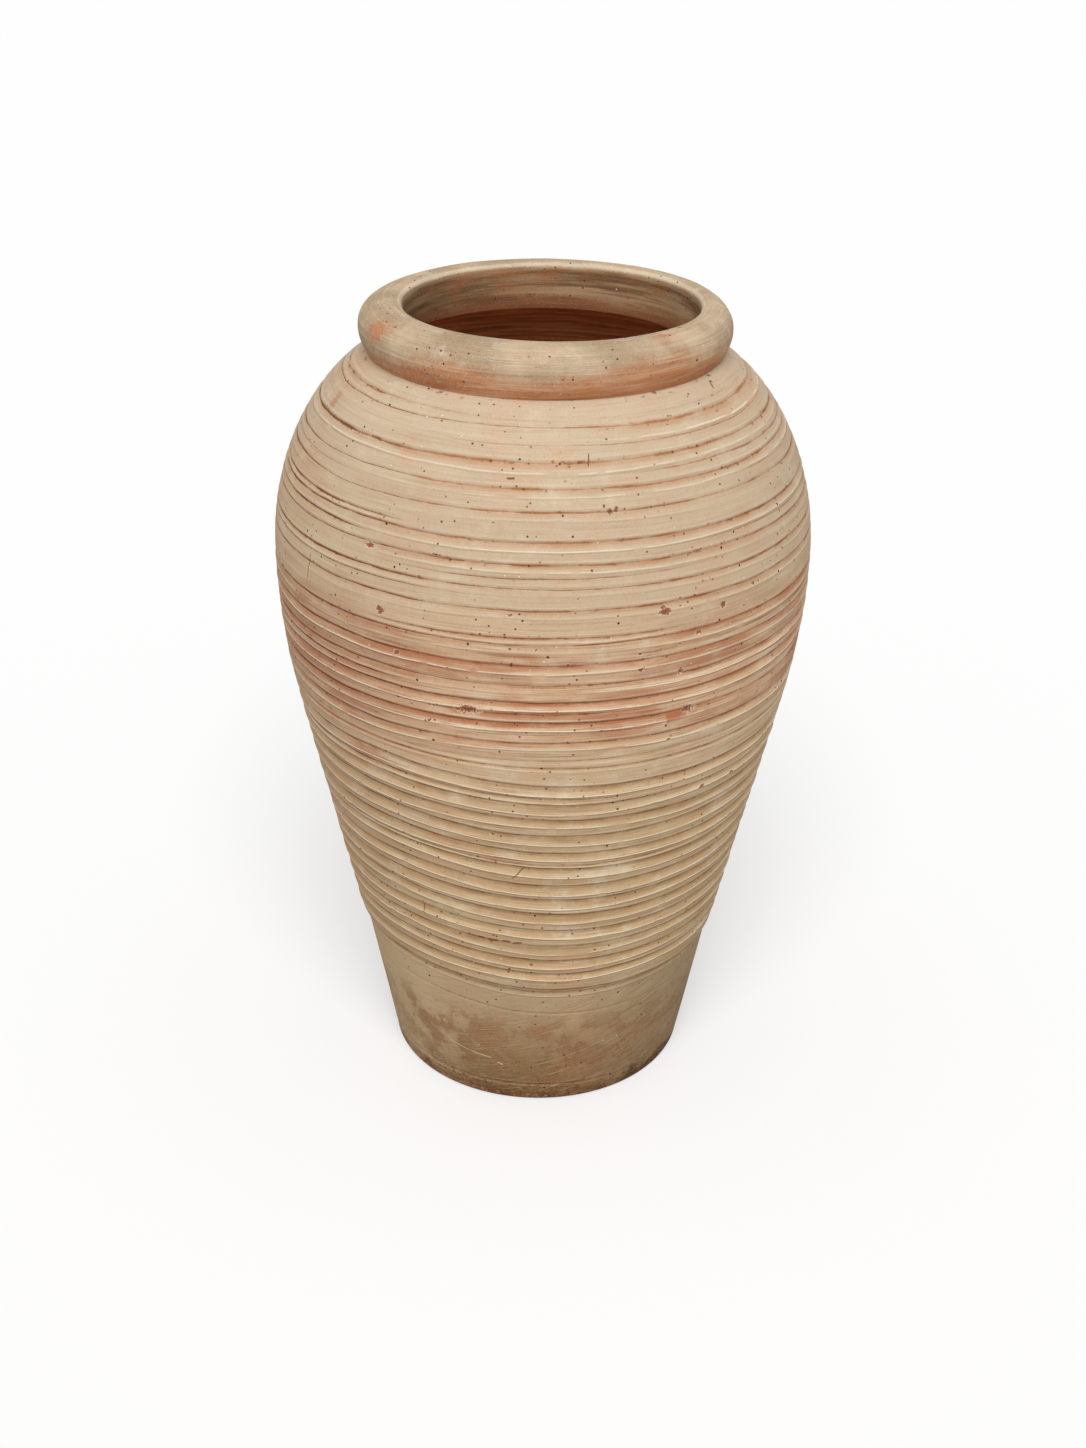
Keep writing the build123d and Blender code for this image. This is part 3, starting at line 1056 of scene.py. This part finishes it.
def tool_marks(ground, zones, strokes, skin):
    """Red hollows, dark hairlines that are partly painted shade, pale lips and edges with painted highlights,
    a painted shadow line under each lip, painted shade on the left of the wall, and red clay dragged across
    them.
    """
    clay = ground.clay
    hollow_clay, crease_clay = clay.ramp(zones.height, HOLLOW_STOPS), clay.ramp(zones.height, CREASE_STOPS)
    smear = clay.mask("smear") + (ground.streak - 0.5) * 2.2 + (ground.drag - 0.5) * 1.8
    skin.coat((smear + (ground.patch - 0.5) * 2.0).between(0.0, 1.1) * 0.55, RED)
    # Painted shade: the left side of the wall is browner and its creases darker, standing in for shade on
    # that side.
    left_shade = (ground.x + (ground.cloud - 0.5) * 0.2).between(-0.08, -0.24) * zones.wall
    skin.coat(left_shade * (0.2 + zones.belly * 0.25 - zones.shoulder * 0.2), LEFT_SHADE_TINT)
    stained = (ground.broad + (ground.patch - 0.5) * 0.8).between(0.3, 0.62)
    skin.coat(strokes.land * zones.wall * 0.14, BROWN)
    scooped = (0.15 + stained * 0.4 + strokes.swell * 0.35) * (1 - left_shade * 0.35)
    skin.coat(strokes.scoop * scooped, hollow_clay)
    # Painted highlight along the edge above each crease.
    skin.coat(strokes.edge * 0.15, CREAM)
    under = 0.25 + zones.belly * 0.45 + zones.shoulder * strokes.swell * 0.6 + left_shade * 0.3
    skin.coat(strokes.under * under, hollow_clay)
    skin.coat(strokes.under * left_shade * 0.55, crease_clay)
    drawn = 0.25 + zones.shoulder * 0.15 + left_shade * 0.45 + strokes.swell * 0.5
    # Crease lines: red clay in the groove, darkened as painted shade.
    skin.coat(strokes.crease * drawn, crease_clay)
    # Painted shadow: a thin dark line under each lip.
    skin.coat(strokes.drop * zones.wall * (0.3 + left_shade * 0.5), crease_clay)
    skin.coat(strokes.crease * left_shade * 0.6, LEFT_CREASE_SHADE)
    skin.coat(strokes.nick * 0.7 * zones.wall, RED_NICK)
    skin.coat(strokes.prick * 0.85 * zones.wall, RED_PRICK)
    under_rim = ground.z.between(RIM_JOINT - 5 * MM, RIM_JOINT - MM)
    skin.coat(strokes.torn * under_rim * 0.7, DARK)
    # Lips rubbed pale, with a painted highlight on top of the wear.
    skin.coat(strokes.ridge * (0.25 + 0.6 * zones.wall), RUBBED_LIP_HIGHLIGHT)


print("rubbed lips in linear light:", [round(c, 3) for c in RUBBED_LIP_HIGHLIGHT])

# %% Marks of the foot
# The first two colours are painted light on the left of the foot and partly painted shade on its right.
LIT_FOOT_LEFT, GREY_FOOT = paint(210, 182, 143), paint(158, 138, 106)
BLOTCH, VEIN = paint(142, 94, 58), paint(112, 72, 42)
WIPED, SCRAPED = paint(204, 178, 142), paint(228, 204, 168)
SOIL, WET_SOIL = paint(120, 74, 40), paint(78, 48, 27)
DARK_CRUMB, PALE_CRUMB = paint(74, 46, 27), paint(190, 154, 112)


def foot_marks(ground, zones, skin, scrapes):
    """Blotches, veins, slanting hand marks, the dirt of the ground, a paler left side that is painted light
    and a greyer right side that is partly painted shade. Returns the hand marks' relief.
    """
    clay = ground.clay
    place = clay.vector(ground.x * 25, ground.y * 25, (ground.z - ground.x * 0.35) * 480)
    slant = clay.noise(place, 1.0, detail=3, rough=0.6)
    patch = ground.patch - 0.5
    lower = (zones.height + patch * 0.05).between(0.165, 0.125)
    side = ground.x + patch * 0.15
    # The greyer right of the foot is partly painted shade.
    grey = side.between(0.03, 0.12) * zones.foot
    # Painted light: the left of the foot is painted paler.
    skin.coat(side.between(-0.06, -0.16) * zones.foot * 0.65, LIT_FOOT_LEFT)
    skin.coat(grey * 0.45, GREY_FOOT)
    blotch = (ground.patch + (ground.cloud - 0.5) * 0.7).between(0.42, 0.68) * lower
    skin.coat(blotch * (0.65 - grey * 0.3), BLOTCH)
    skin.coat(abs(ground.patch - 0.52).between(0.02, 0.004) * lower * 0.3, VEIN)
    skin.coat(slant.between(0.54, 0.72) * zones.foot * (0.3 + grey * 0.3), BROWN)
    skin.coat(slant.between(0.46, 0.28) * zones.foot * 0.45, WIPED)
    soil = zones.height + patch * 0.07 + ground.ragged * 0.03
    damp = ground.x.between(0.06, 0.14) * ground.y.between(-0.04, -0.1)
    skin.coat(soil.between(0.026, 0.002) * 0.65, SOIL)
    skin.coat((soil - damp * 0.016).between(0.01, -0.004) * 0.85, WET_SOIL)
    edge = (zones.height + patch * 0.04).between(0.05, 0.01)
    crumbs = ground.ragged + ground.jagged * 0.6
    skin.coat(crumbs.between(0.07, 0.16) * edge * 0.75, DARK_CRUMB)
    # The pale crumbs are partly dried soil and partly painted highlights on the crusted lower edge.
    skin.coat(crumbs.between(-0.07, -0.16) * edge * 0.5, PALE_CRUMB)
    skin.coat(scratches(ground, scrapes) * 0.8, SCRAPED)
    return slant * zones.foot


print(f"the foot's blotches end {1000 * 0.165 * JAR_TOP:.0f} mm above the ground")

# %% Damage
ORANGE_FLAKE, BROKEN, HEART = paint(186, 108, 66), paint(180, 104, 66), paint(118, 58, 34)
CUT, FRESH_NICK = paint(104, 66, 40), paint(126, 56, 30)


def damage(ground, skin, cuts, nicks, flakes):
    """Chips with a pale broken edge that is a painted highlight, and a dark heart, scratches and red nicks.
    Returns where it cuts in.
    """
    chip = ground.clay.mask("chip") + ground.jagged * 2.2 + ground.ragged * 2.4
    broken = chip.between(0.0, 0.12)
    cuts, nicks, flakes = (scratches(ground, ends) for ends in (cuts, nicks, flakes))
    skin.coat(flakes * 0.85, ORANGE_FLAKE)
    # Painted highlight: a pale ring round each chip.
    skin.coat(chip.between(-0.3, -0.1) * 0.6, CREAM)
    skin.coat(broken * 0.85, BROKEN)
    skin.coat(chip.between(0.1, 0.4) * 0.6, HEART)
    skin.coat(cuts * 0.8, CUT)
    skin.coat(nicks * 0.9, FRESH_NICK)
    return broken + cuts + nicks


print("a chip's heart in linear light:", [round(c, 3) for c in HEART])

# %% Wall, foot and inner clay
INNER_PALE, INNER_TAN, INNER_RED = paint(240, 187, 139), paint(204, 141, 95), paint(196, 124, 80)
INNER_LINE, INNER_EDGE = paint(150, 90, 54), paint(244, 190, 140)


def inner_colour(ground):
    inner = Skin(ground.clay, ground.clay.mix(ground.streak.between(0.35, 0.65), INNER_PALE, INNER_TAN))
    inner.coat(ground.cloud.between(0.45, 0.65) * 0.4, INNER_RED)
    inner.coat(ground.rings.between(0.5, 0.64) * 0.5, INNER_LINE)
    inner.coat(ground.rings.between(0.47, 0.34) * 0.35, INNER_EDGE)
    return inner.colour


def turned_clay(name, scrapes=(), cuts=(), nicks=(), flakes=()):
    """The clay of a turned ring, with the single marks that it carries."""
    ground = Ground(Surface(name))
    zones, strokes = Zones(ground), Strokes(ground)
    skin = bloom(ground, zones)
    tool_marks(ground, zones, strokes, skin)
    slant = foot_marks(ground, zones, skin, scrapes)
    hurt = damage(ground, skin, cuts, nicks, flakes)
    ground.speckle(skin)
    skin.coat(ground.inside, inner_colour(ground))
    relief = ground.drag * (0.04 + zones.busy * 0.14) + ground.streak * ground.inside * 1.4 + slant * 0.15
    relief = relief + strokes.ridge * 0.25 + strokes.edge * 0.1 - strokes.crease * 0.12
    relief = relief - strokes.nick * 0.3 - strokes.prick * 0.4 - hurt * 0.45
    return ground.finish(skin, 0.78 + (ground.patch - 0.5) * 0.25 + strokes.crease * 0.1, relief)


wall_clay = turned_clay("wall_clay", cuts=WALL_CUTS, nicks=RED_NICKS, flakes=ORANGE_FLAKES)
foot_clay = turned_clay("foot_clay", scrapes=FOOT_SCRAPES)
inner_clay = turned_clay("inner_clay")
print(wall_clay.name, "has", len(wall_clay.node_tree.nodes), "nodes")

# %% [markdown]
# ## Raising the wall
# The six wall rings and the foot are one loop: each takes its stretch of the outside, the two joints and its
# stretch of the inside. Fingers leave a broad ripple inside, which the tool never smooths away.

# %% The inside of a ring
INNER_RIPPLE = 0.9 * MM
INNER_PITCH = 26 * MM
RIPPLE_FADE = 6 * MM
RIPPLE_SEED = 21


def inside_rows(low, high, rows):
    """The inside of the wall, from high to low."""
    z = around(even_heights(low, high, rows, inner_radius)[::-1])
    fade = smooth(z, low, low + RIPPLE_FADE) * smooth(-z, -high, -high + RIPPLE_FADE)
    sway = 2 * field(RIPPLE_SEED, angles + 0 * z, z / 0.1, 6)
    ripple = INNER_RIPPLE * fade * np.sin(TURN * z / INNER_PITCH + sway)
    return inner_radius(z) + ripple, z, plain_masks(z, 1)


print(f"finger marks {1000 * INNER_PITCH:.0f} mm apart")

# %% Foot and wall rings
OUTER_ROWS = 124
INNER_ROWS = 18
RINGS = [
    ("foot_ring", FLOOR_JOINT, FOOT_JOINT, "foot_clay", foot_clay),
    ("lower_wall_ring", FOOT_JOINT, MIDDLE_JOINT, "wall_clay", wall_clay),
    ("middle_wall_ring", MIDDLE_JOINT, UPPER_JOINT, "wall_clay", wall_clay),
    ("upper_wall_ring", UPPER_JOINT, WAIST_JOINT, "wall_clay", wall_clay),
    ("belly_ring", WAIST_JOINT, SHOULDER_JOINT, "wall_clay", wall_clay),
    ("shoulder_ring", SHOULDER_JOINT, NECK_JOINT, "wall_clay", wall_clay),
    ("neck_ring", NECK_JOINT, RIM_JOINT, "wall_clay", wall_clay),
]


def wall_ring(name, low, high):
    plain = foot_radius if high <= FOOT_JOINT else wall_radius
    outer = outside(around(even_heights(low, high, OUTER_ROWS, plain)))
    top = plain_rows(joint_points(high), 0.5)
    inner = inside_rows(low, high, INNER_ROWS)
    under = plain_rows(joint_points(low)[::-1], 0.5)
    first_inner = OUTER_ROWS + len(top[0])
    corners = [0, OUTER_ROWS - 1, first_inner, first_inner + INNER_ROWS - 1]
    return ring_mesh(name, joined([outer, top, inner, under]), OUTER_ROWS - 1, corners)


for name, low, high, slot, material in RINGS:
    finish_piece(wall_ring("turned_" + name, low, high), name, material)

# %% [markdown]
# ## The rolled rim
# The mouth is a thick coil, rolled over and smoothed with a wet hand. A bent tube would be round all over, so
# its section is drawn as the solid's is, with three arcs and a straight throat: from the neck out to the
# bulge, over the crest, and down inside.

# %% Rim section
RIM_ROWS = 130
ARC_STEPS = 200
RIM_MIDDLE = (RIM_JOINT + JAR_TOP) / 2
LIP_WIDTH = 10 * MM
LIP_HEIGHT = 12 * MM
CREST_WIDTH = 5 * MM
LIP_RADIUS = THROAT_RADIUS + LIP_WIDTH
CREST_RADIUS = LIP_RADIUS + CREST_WIDTH
THROAT_TOP = JAR_TOP - LIP_HEIGHT


def rim_outline(rows):
    """Points evenly spaced from the neck, over the crest, to the bottom of the throat."""
    overhang, half = RIM_RADIUS - NECK_RADIUS, RIM_MIDDLE - RIM_JOINT
    sweep = (overhang**2 + half**2) / (2 * overhang)
    low = np.linspace(-asin(half / sweep), 0, ARC_STEPS)
    turn = np.linspace(0, pi / 2, ARC_STEPS)
    under = RIM_RADIUS - sweep + sweep * np.cos(low), RIM_MIDDLE + sweep * np.sin(low)
    over = CREST_RADIUS + (RIM_RADIUS - CREST_RADIUS) * np.cos(turn), RIM_MIDDLE + half * np.sin(turn)
    lip = LIP_RADIUS - LIP_WIDTH * np.sin(turn), THROAT_TOP + LIP_HEIGHT * np.cos(turn)
    throat = [THROAT_RADIUS], [RIM_JOINT]
    radius, z = (np.concatenate(side) for side in zip(under, over, lip, throat))
    run = np.concatenate([[0], np.cumsum(np.hypot(np.diff(radius), np.diff(z)))])
    even = np.linspace(0, run[-1], rows)
    return np.interp(even, run, radius), np.interp(even, run, z), even


rim_radius, rim_height, rim_run = rim_outline(RIM_ROWS)
RIM_LENGTH = rim_run[-1]
print(f"the rim's section is {1000 * RIM_LENGTH:.0f} mm round")

# %% [markdown]
# The hand leaves fine streaks round the coil and a few flats, and its mouth is a little off centre. On top
# the rim is greyer than the wall. On its lower half the slip was wiped away and the clay is warm orange,
# most of all from the front round to the right. The mesh keeps how far inside that bare band a point lies,
# and the recipe makes its edge ragged.

# %% The rim's bare band
BARE_FROM, BARE_FULL = radians(-72), radians(-22)
BARE_FADES, BARE_GONE = radians(110), radians(165)
BARE_WIDTH, BARE_SEED = 29 * MM, 34
# Each bare patch: angle in degrees, then run from the neck, half width and half height in millimetres.
RIM_PATCHES = {"left patch": (-62, 44, 16, 10), "left smudge": (-40, 12, 40, 8), "right nick": (41, 66, 5, 3)}


def bare_band(angle, run):
    """How far inside the bare band a point lies, and how far inside a patch."""
    front = smooth(angle, BARE_FROM, BARE_FULL) * (1 - smooth(angle, BARE_FADES, BARE_GONE))
    bare = BARE_WIDTH * (0.3 + 0.7 * front) * (1 + 0.3 * field(BARE_SEED, angle, 0 * run, 11)) - run
    patch = np.full_like(run, -1.0)
    for turned, along, wide, tall in RIM_PATCHES.values():
        off = np.hypot((angle - radians(turned)) * RIM_RADIUS / wide, (run - along * MM) / tall) / MM
        patch = np.maximum(patch, 1 - off)
        bare = np.maximum(bare, (1 - off) * tall * MM)
    return bare, patch


print(f"the bare band is up to {1000 * bare_band(angles, 0 * angles)[0].max():.0f} mm wide")

# %% Rows of the rim
RIM_WAVES, RIM_SEED = [(0.8 * MM, 0.05, 7), (0.3 * MM, 0.012, 24), (0.12 * MM, 0.004, 40)], 31
RIM_ENDS = 5 * MM
MOUTH_RIGHT, MOUTH_BACK = 6 * MM, 3 * MM
SHIFT_FROM, SHIFT_FULL, SHIFT_ENDS = 30 * MM, 70 * MM, 32 * MM
THROAT_FROM, THROAT_FULL = RIM_LENGTH - 52 * MM, RIM_LENGTH - 44 * MM
# Where the painted highlight runs along the inner edge of the lip.
LIP_EDGE_RUN, LIP_EDGE_FADE = 10 * MM, 6 * MM


def rim_rows():
    run = around(rim_run)
    angle = angles + 0 * run
    to_end = RIM_LENGTH - run
    depth = waves(RIM_WAVES, RIM_SEED, angle, run) * smooth(run, 0, RIM_ENDS) * smooth(to_end, 0, RIM_ENDS)
    across, up = np.gradient(rim_radius, rim_run), np.gradient(rim_height, rim_run)
    on_lip = around(smooth(rim_radius, RIM_RADIUS, LIP_RADIUS)) * smooth(run, SHIFT_FROM, SHIFT_FULL)
    shift = MOUTH_RIGHT * np.sin(angle) - MOUTH_BACK * np.cos(angle)
    off_centre = on_lip * smooth(to_end, 0, SHIFT_ENDS) * shift
    masks = plain_masks(run, smooth(run, THROAT_FROM, THROAT_FULL))
    inner_edge = RIM_LENGTH - (THROAT_TOP - RIM_JOINT) - LIP_EDGE_RUN
    bare, patch = bare_band(angle, run)
    masks.update(bare=bare, chip=patch, lip=1 - np.abs(run - inner_edge) / LIP_EDGE_FADE)
    radius = around(rim_radius) + depth * around(up) + off_centre
    return radius, around(rim_height) - depth * around(across), masks


rim_section = rim_rows()
print(f"the mouth is {2000 * rim_section[0].min():.0f} mm across where it is narrowest")

# %% Rim clay
RIM_PALE, RIM_TAN, RIM_GREY = paint(206, 181, 150), paint(178, 151, 119), paint(158, 130, 98)
ORANGE, DEEP_ORANGE, RIM_BROKEN = paint(210, 143, 95), paint(188, 116, 72), paint(200, 128, 84)
# The throat's tan and brown are darkened as painted shade inside the mouth.
THROAT_TAN, THROAT_BROWN, THROAT_RED = paint(165, 135, 101), paint(129, 96, 65), paint(174, 106, 64)
THROAT_LINE, THROAT_PALE, THROAT_DEEP = paint(100, 66, 42), paint(184, 156, 122), paint(132, 76, 44)
SCUFF = paint(236, 220, 194)
DEEP_FROM = 24 * MM


def throat_colour(ground):
    """Streaked and stained, darkened as painted shade, and redder towards the bottom."""
    throat = Skin(ground.clay, ground.clay.mix(ground.streak.between(0.35, 0.65), THROAT_TAN, THROAT_BROWN))
    throat.coat((ground.patch + (ground.cloud - 0.5) * 0.7).between(0.48, 0.66) * 0.6, THROAT_RED)
    throat.coat(ground.rings.between(0.51, 0.64) * 0.55, THROAT_LINE)
    throat.coat(ground.rings.between(0.47, 0.34) * 0.4, THROAT_PALE)
    deep = (ground.z + (ground.patch - 0.5) * 0.02).between(RIM_JOINT + DEEP_FROM, RIM_JOINT)
    throat.coat(deep * 0.85, THROAT_DEEP)
    return throat.colour


def rolled_clay(name):
    """The clay of the rolled rim, grey on top and bare below, with a painted highlight on the inner edge."""
    clay = Surface(name)
    ground = Ground(clay)
    skin = Skin(clay, clay.mix(ground.cloud.between(0.4, 0.65), RIM_PALE, RIM_TAN))
    skin.coat(ground.patch.between(0.5, 0.7) * 0.45, RIM_GREY)
    skin.coat(ground.patch.between(0.47, 0.28) * 0.45, CREAM)
    wiped = clay.mask("bare") + ground.ragged * (12 * MM) + (ground.patch - 0.5) * (30 * MM)
    orange = clay.mix(ground.streak.between(0.35, 0.65), ORANGE, DEEP_ORANGE)
    skin.coat(wiped.between(-14 * MM, 12 * MM) * (0.7 + ground.cloud * 0.4), orange)
    skin.coat(ground.streak.between(0.52, 0.72) * 0.15, BROWN)
    skin.coat(ground.streak.between(0.46, 0.3) * 0.2, CREAM)
    skin.coat(ground.drag.between(0.54, 0.72) * 0.32, BROWN)
    skin.coat(ground.drag.between(0.45, 0.3) * 0.32, CREAM)
    skin.coat(ground.inside, throat_colour(ground))
    # Painted highlight: a pale line along the lip's inner edge.
    skin.coat((clay.mask("lip") + ground.jagged * 0.8).between(0.35, 0.8) * 0.55, CREAM)
    broken = (clay.mask("chip") + ground.jagged * 2.2 + ground.ragged * 2.4).between(0.0, 0.2)
    skin.coat(broken * 0.6, RIM_BROKEN)
    scuffed = abs(ground.ragged).between(0.03, 0.005) * ground.cloud.between(0.42, 0.58) * (1 - ground.inside)
    skin.coat(scuffed * 0.55, SCUFF)
    ground.speckle(skin)
    relief = ground.drag * 0.16 + ground.streak * 0.25 + ground.patch * 0.8 + scuffed * 0.25 - broken * 0.3
    return ground.finish(skin, 0.76 + (ground.patch - 0.5) * 0.25, relief)


rim_clay = rolled_clay("rim_clay")
print(rim_clay.name, "has", len(rim_clay.node_tree.nodes), "nodes")

# %% Rolled rim
rim_under = plain_rows(joint_points(RIM_JOINT)[::-1], 0.5)
rim_under[2]["bare"] = 0 * rim_under[0]
rim = ring_mesh("turned_rolled_rim", joined([rim_section, rim_under]), RIM_ROWS - 1, [0, RIM_ROWS - 1])
finish_piece(rim, "rolled_rim", rim_clay)

# %% [markdown]
# ## The floor and the coil in its corner
# The jar stands on a thick slab with a rounded edge. The slab's section starts and ends beside the axis, so
# two small caps close it, which keeps all its other faces in even rows.

# %% Floor slab
BASE_ROUNDING = 5 * MM
ROUNDING_REACH = 0.82
HUB_RADIUS = 2 * MM
UNDER_ROWS = 24
BEND_ROWS = 8
SIDE_ROWS = 22


def slab_rows():
    """From the middle of the underside, round the lower edge, up the outside, and back over the top."""
    centre = BASE_RADIUS - BASE_ROUNDING * ROUNDING_REACH
    under = plain_rows([(r, 0.0) for r in np.linspace(HUB_RADIUS, centre, UNDER_ROWS)], 0.3)
    turns = np.linspace(-pi / 2, 0, BEND_ROWS + 2)[1:-1]
    bend = [(centre + BASE_ROUNDING * cos(t), BASE_ROUNDING + BASE_ROUNDING * sin(t)) for t in turns]
    side = outside(around(np.linspace(BASE_ROUNDING, FLOOR_JOINT, SIDE_ROWS)))
    keyed = plain_rows(joint_points(FLOOR_JOINT), 0.5)
    corner = float(inner_radius(FLOOR_JOINT))
    over = plain_rows([(r, FLOOR_JOINT) for r in np.linspace(corner, HUB_RADIUS, UNDER_ROWS)], 1.0)
    return joined([under, plain_rows(bend, 0.0), side, keyed, over])


slab_section = slab_rows()
slab_edge = UNDER_ROWS + BEND_ROWS + SIDE_ROWS - 1
slab = ring_mesh("turned_floor_slab", slab_section, len(slab_section[0]) - 2, [slab_edge], capped=True)
finish_piece(slab, "floor_slab", foot_clay)

# %% [markdown]
# Inside, a coil is pressed into the corner of slab and foot and wiped to a hollow. A fillet on the two pieces
# would look the same from above, but the coil is a piece of its own, so it gets its own ring.

# %% Corner coil
COIL_WIDTH = 30 * MM
COIL_HEIGHT = 34 * MM
COIL_ROWS = 24
THUMB_WAVES, THUMB_SEED = [(0.8 * MM, 0.02, 40)], 41


def coil_rows():
    corner = float(inner_radius(FLOOR_JOINT))
    top = FLOOR_JOINT + COIL_HEIGHT
    wall_top = float(inner_radius(top))
    t = np.linspace(0, 1, COIL_ROWS)
    hollow_r = (1 - t) ** 2 * wall_top + 2 * t * (1 - t) * corner + t**2 * (corner - COIL_WIDTH)
    hollow_z = (1 - t) ** 2 * top + 2 * t * (1 - t) * FLOOR_JOINT + t**2 * FLOOR_JOINT
    radius, z, masks = plain_rows(list(zip(hollow_r, hollow_z)), 1.0)
    pressed = waves(THUMB_WAVES, THUMB_SEED, angles + 0 * z, z) * around(np.sin(pi * t))
    back = plain_rows([(corner, FLOOR_JOINT)], 1.0)
    return joined([(radius - pressed, z + pressed, masks), back])


coil = ring_mesh("pressed_corner_coil", coil_rows(), COIL_ROWS, [0, COIL_ROWS - 1, COIL_ROWS])
finish_piece(coil, "corner_coil", inner_clay)

# %% [markdown]
# ## Floor, light and camera
# A wide pale floor carries the jar's soft shadow. It is white to the camera and to reflections, but returns
# less light to the jar, so that the foot keeps its own shade. More light would whiten it too, but would
# bleach the clay.

# %% What is seen of the studio
WHITE = (1, 1, 1, 1)


def seen_directly(recipe):
    """1 for a ray that comes from the camera, a mirror or a glass, 0 for light on its way to the jar."""
    rays = ("Is Camera Ray", "Is Glossy Ray", "Is Transmission Ray")
    camera_ray, glossy_ray, glass_ray = (recipe.add("ShaderNodeLightPath", out=ray) for ray in rays)
    return recipe.math("MINIMUM", camera_ray + glossy_ray + glass_ray, 1)


print("colour of the studio:", WHITE)

# %% Studio floor
FLOOR_HALF = 30.0
FLOOR_BOUNCE = (0.45, 0.45, 0.45, 1)
FLOOR_GLOW = 0.36


def studio_floor():
    half = FLOOR_HALF
    corners = [(-half, -half, 0), (half, -half, 0), (half, half, 0), (-half, half, 0)]
    mesh = bpy.data.meshes.new("studio_floor")
    mesh.from_pydata(corners, [], [(0, 1, 2, 3)])
    floor = bpy.data.objects.new("studio_floor", mesh)
    bpy.context.scene.collection.objects.link(floor)
    sheet = Surface("studio_floor")
    seen = seen_directly(sheet)
    sheet.feed(sheet.shader.inputs["Base Color"], sheet.mix(seen, FLOOR_BOUNCE, WHITE))
    sheet.shader.inputs["Roughness"].default_value = 1.0
    sheet.shader.inputs["Specular IOR Level"].default_value = 0.0
    glow = sheet.add("ShaderNodeEmission", {}, {"Color": WHITE, "Strength": 1.0})
    shaded = Value(sheet, sheet.shader.outputs[0])
    lit = sheet.add("ShaderNodeMixShader", {}, {0: seen * FLOOR_GLOW, 1: shaded, 2: glow})
    sheet.feed(sheet.tree.nodes["Material Output"].inputs["Surface"], lit)
    mesh.materials.append(sheet.block)
    return floor


print(studio_floor().name, "is", 2 * FLOOR_HALF, "m wide")

# %% [markdown]
# A broad soft sun from the front and an even sky light the clay at a plain level, at which its colours look
# as they are written. One hard lamp would draw the grooves more sharply, but would hide one side of the jar.

# %% Sky and sun
SKY_LEVEL = 0.45
SUN_LEVEL = 2.2
SUN_WIDTH = radians(36)
SUN_HEIGHT = radians(50)

scene = bpy.context.scene
scene.view_settings.view_transform = "Standard"
sky = Recipe(bpy.data.worlds.new("sky"))
scene.world = sky.block
background = sky.tree.nodes["Background"]
background.inputs["Color"].default_value = WHITE
sky.feed(background.inputs["Strength"], SKY_LEVEL + seen_directly(sky) * (1 - SKY_LEVEL))

sun = bpy.data.objects.new("soft_sun", bpy.data.lights.new("soft_sun", "SUN"))
sun.data.energy = SUN_LEVEL
sun.data.angle = SUN_WIDTH
sun.rotation_euler = Euler((pi / 2 - SUN_HEIGHT, 0, 0))
scene.collection.objects.link(sun)
print(f"sky {SKY_LEVEL}, sun {SUN_LEVEL}")

# %% [markdown]
# The camera is held half a metre above the jar's mouth and two metres in front of it, looking down by 27.5
# degrees, with the slight lean of a hand-held shot.

# %% Camera
CAMERA_PLACE = (0.0032, -1.9858, 1.4619)
CAMERA_DOWN = radians(27.5)
CAMERA_LEAN = radians(0.771)
CAMERA_LENS = 45.66

camera = bpy.data.objects.new("camera", bpy.data.cameras.new("camera"))
camera.data.lens = CAMERA_LENS
camera.location = CAMERA_PLACE
camera.rotation_mode = "QUATERNION"
level_view = Euler((pi / 2 - CAMERA_DOWN, 0, 0)).to_quaternion()
camera.rotation_quaternion = level_view @ Quaternion((0, 0, 1), CAMERA_LEAN)
scene.collection.objects.link(camera)
scene.camera = camera
print("camera at", CAMERA_PLACE)

# %% [markdown]
# ## Finish
# The visible jar has to stay in the solids' box, give or take the thickness of a finger mark.
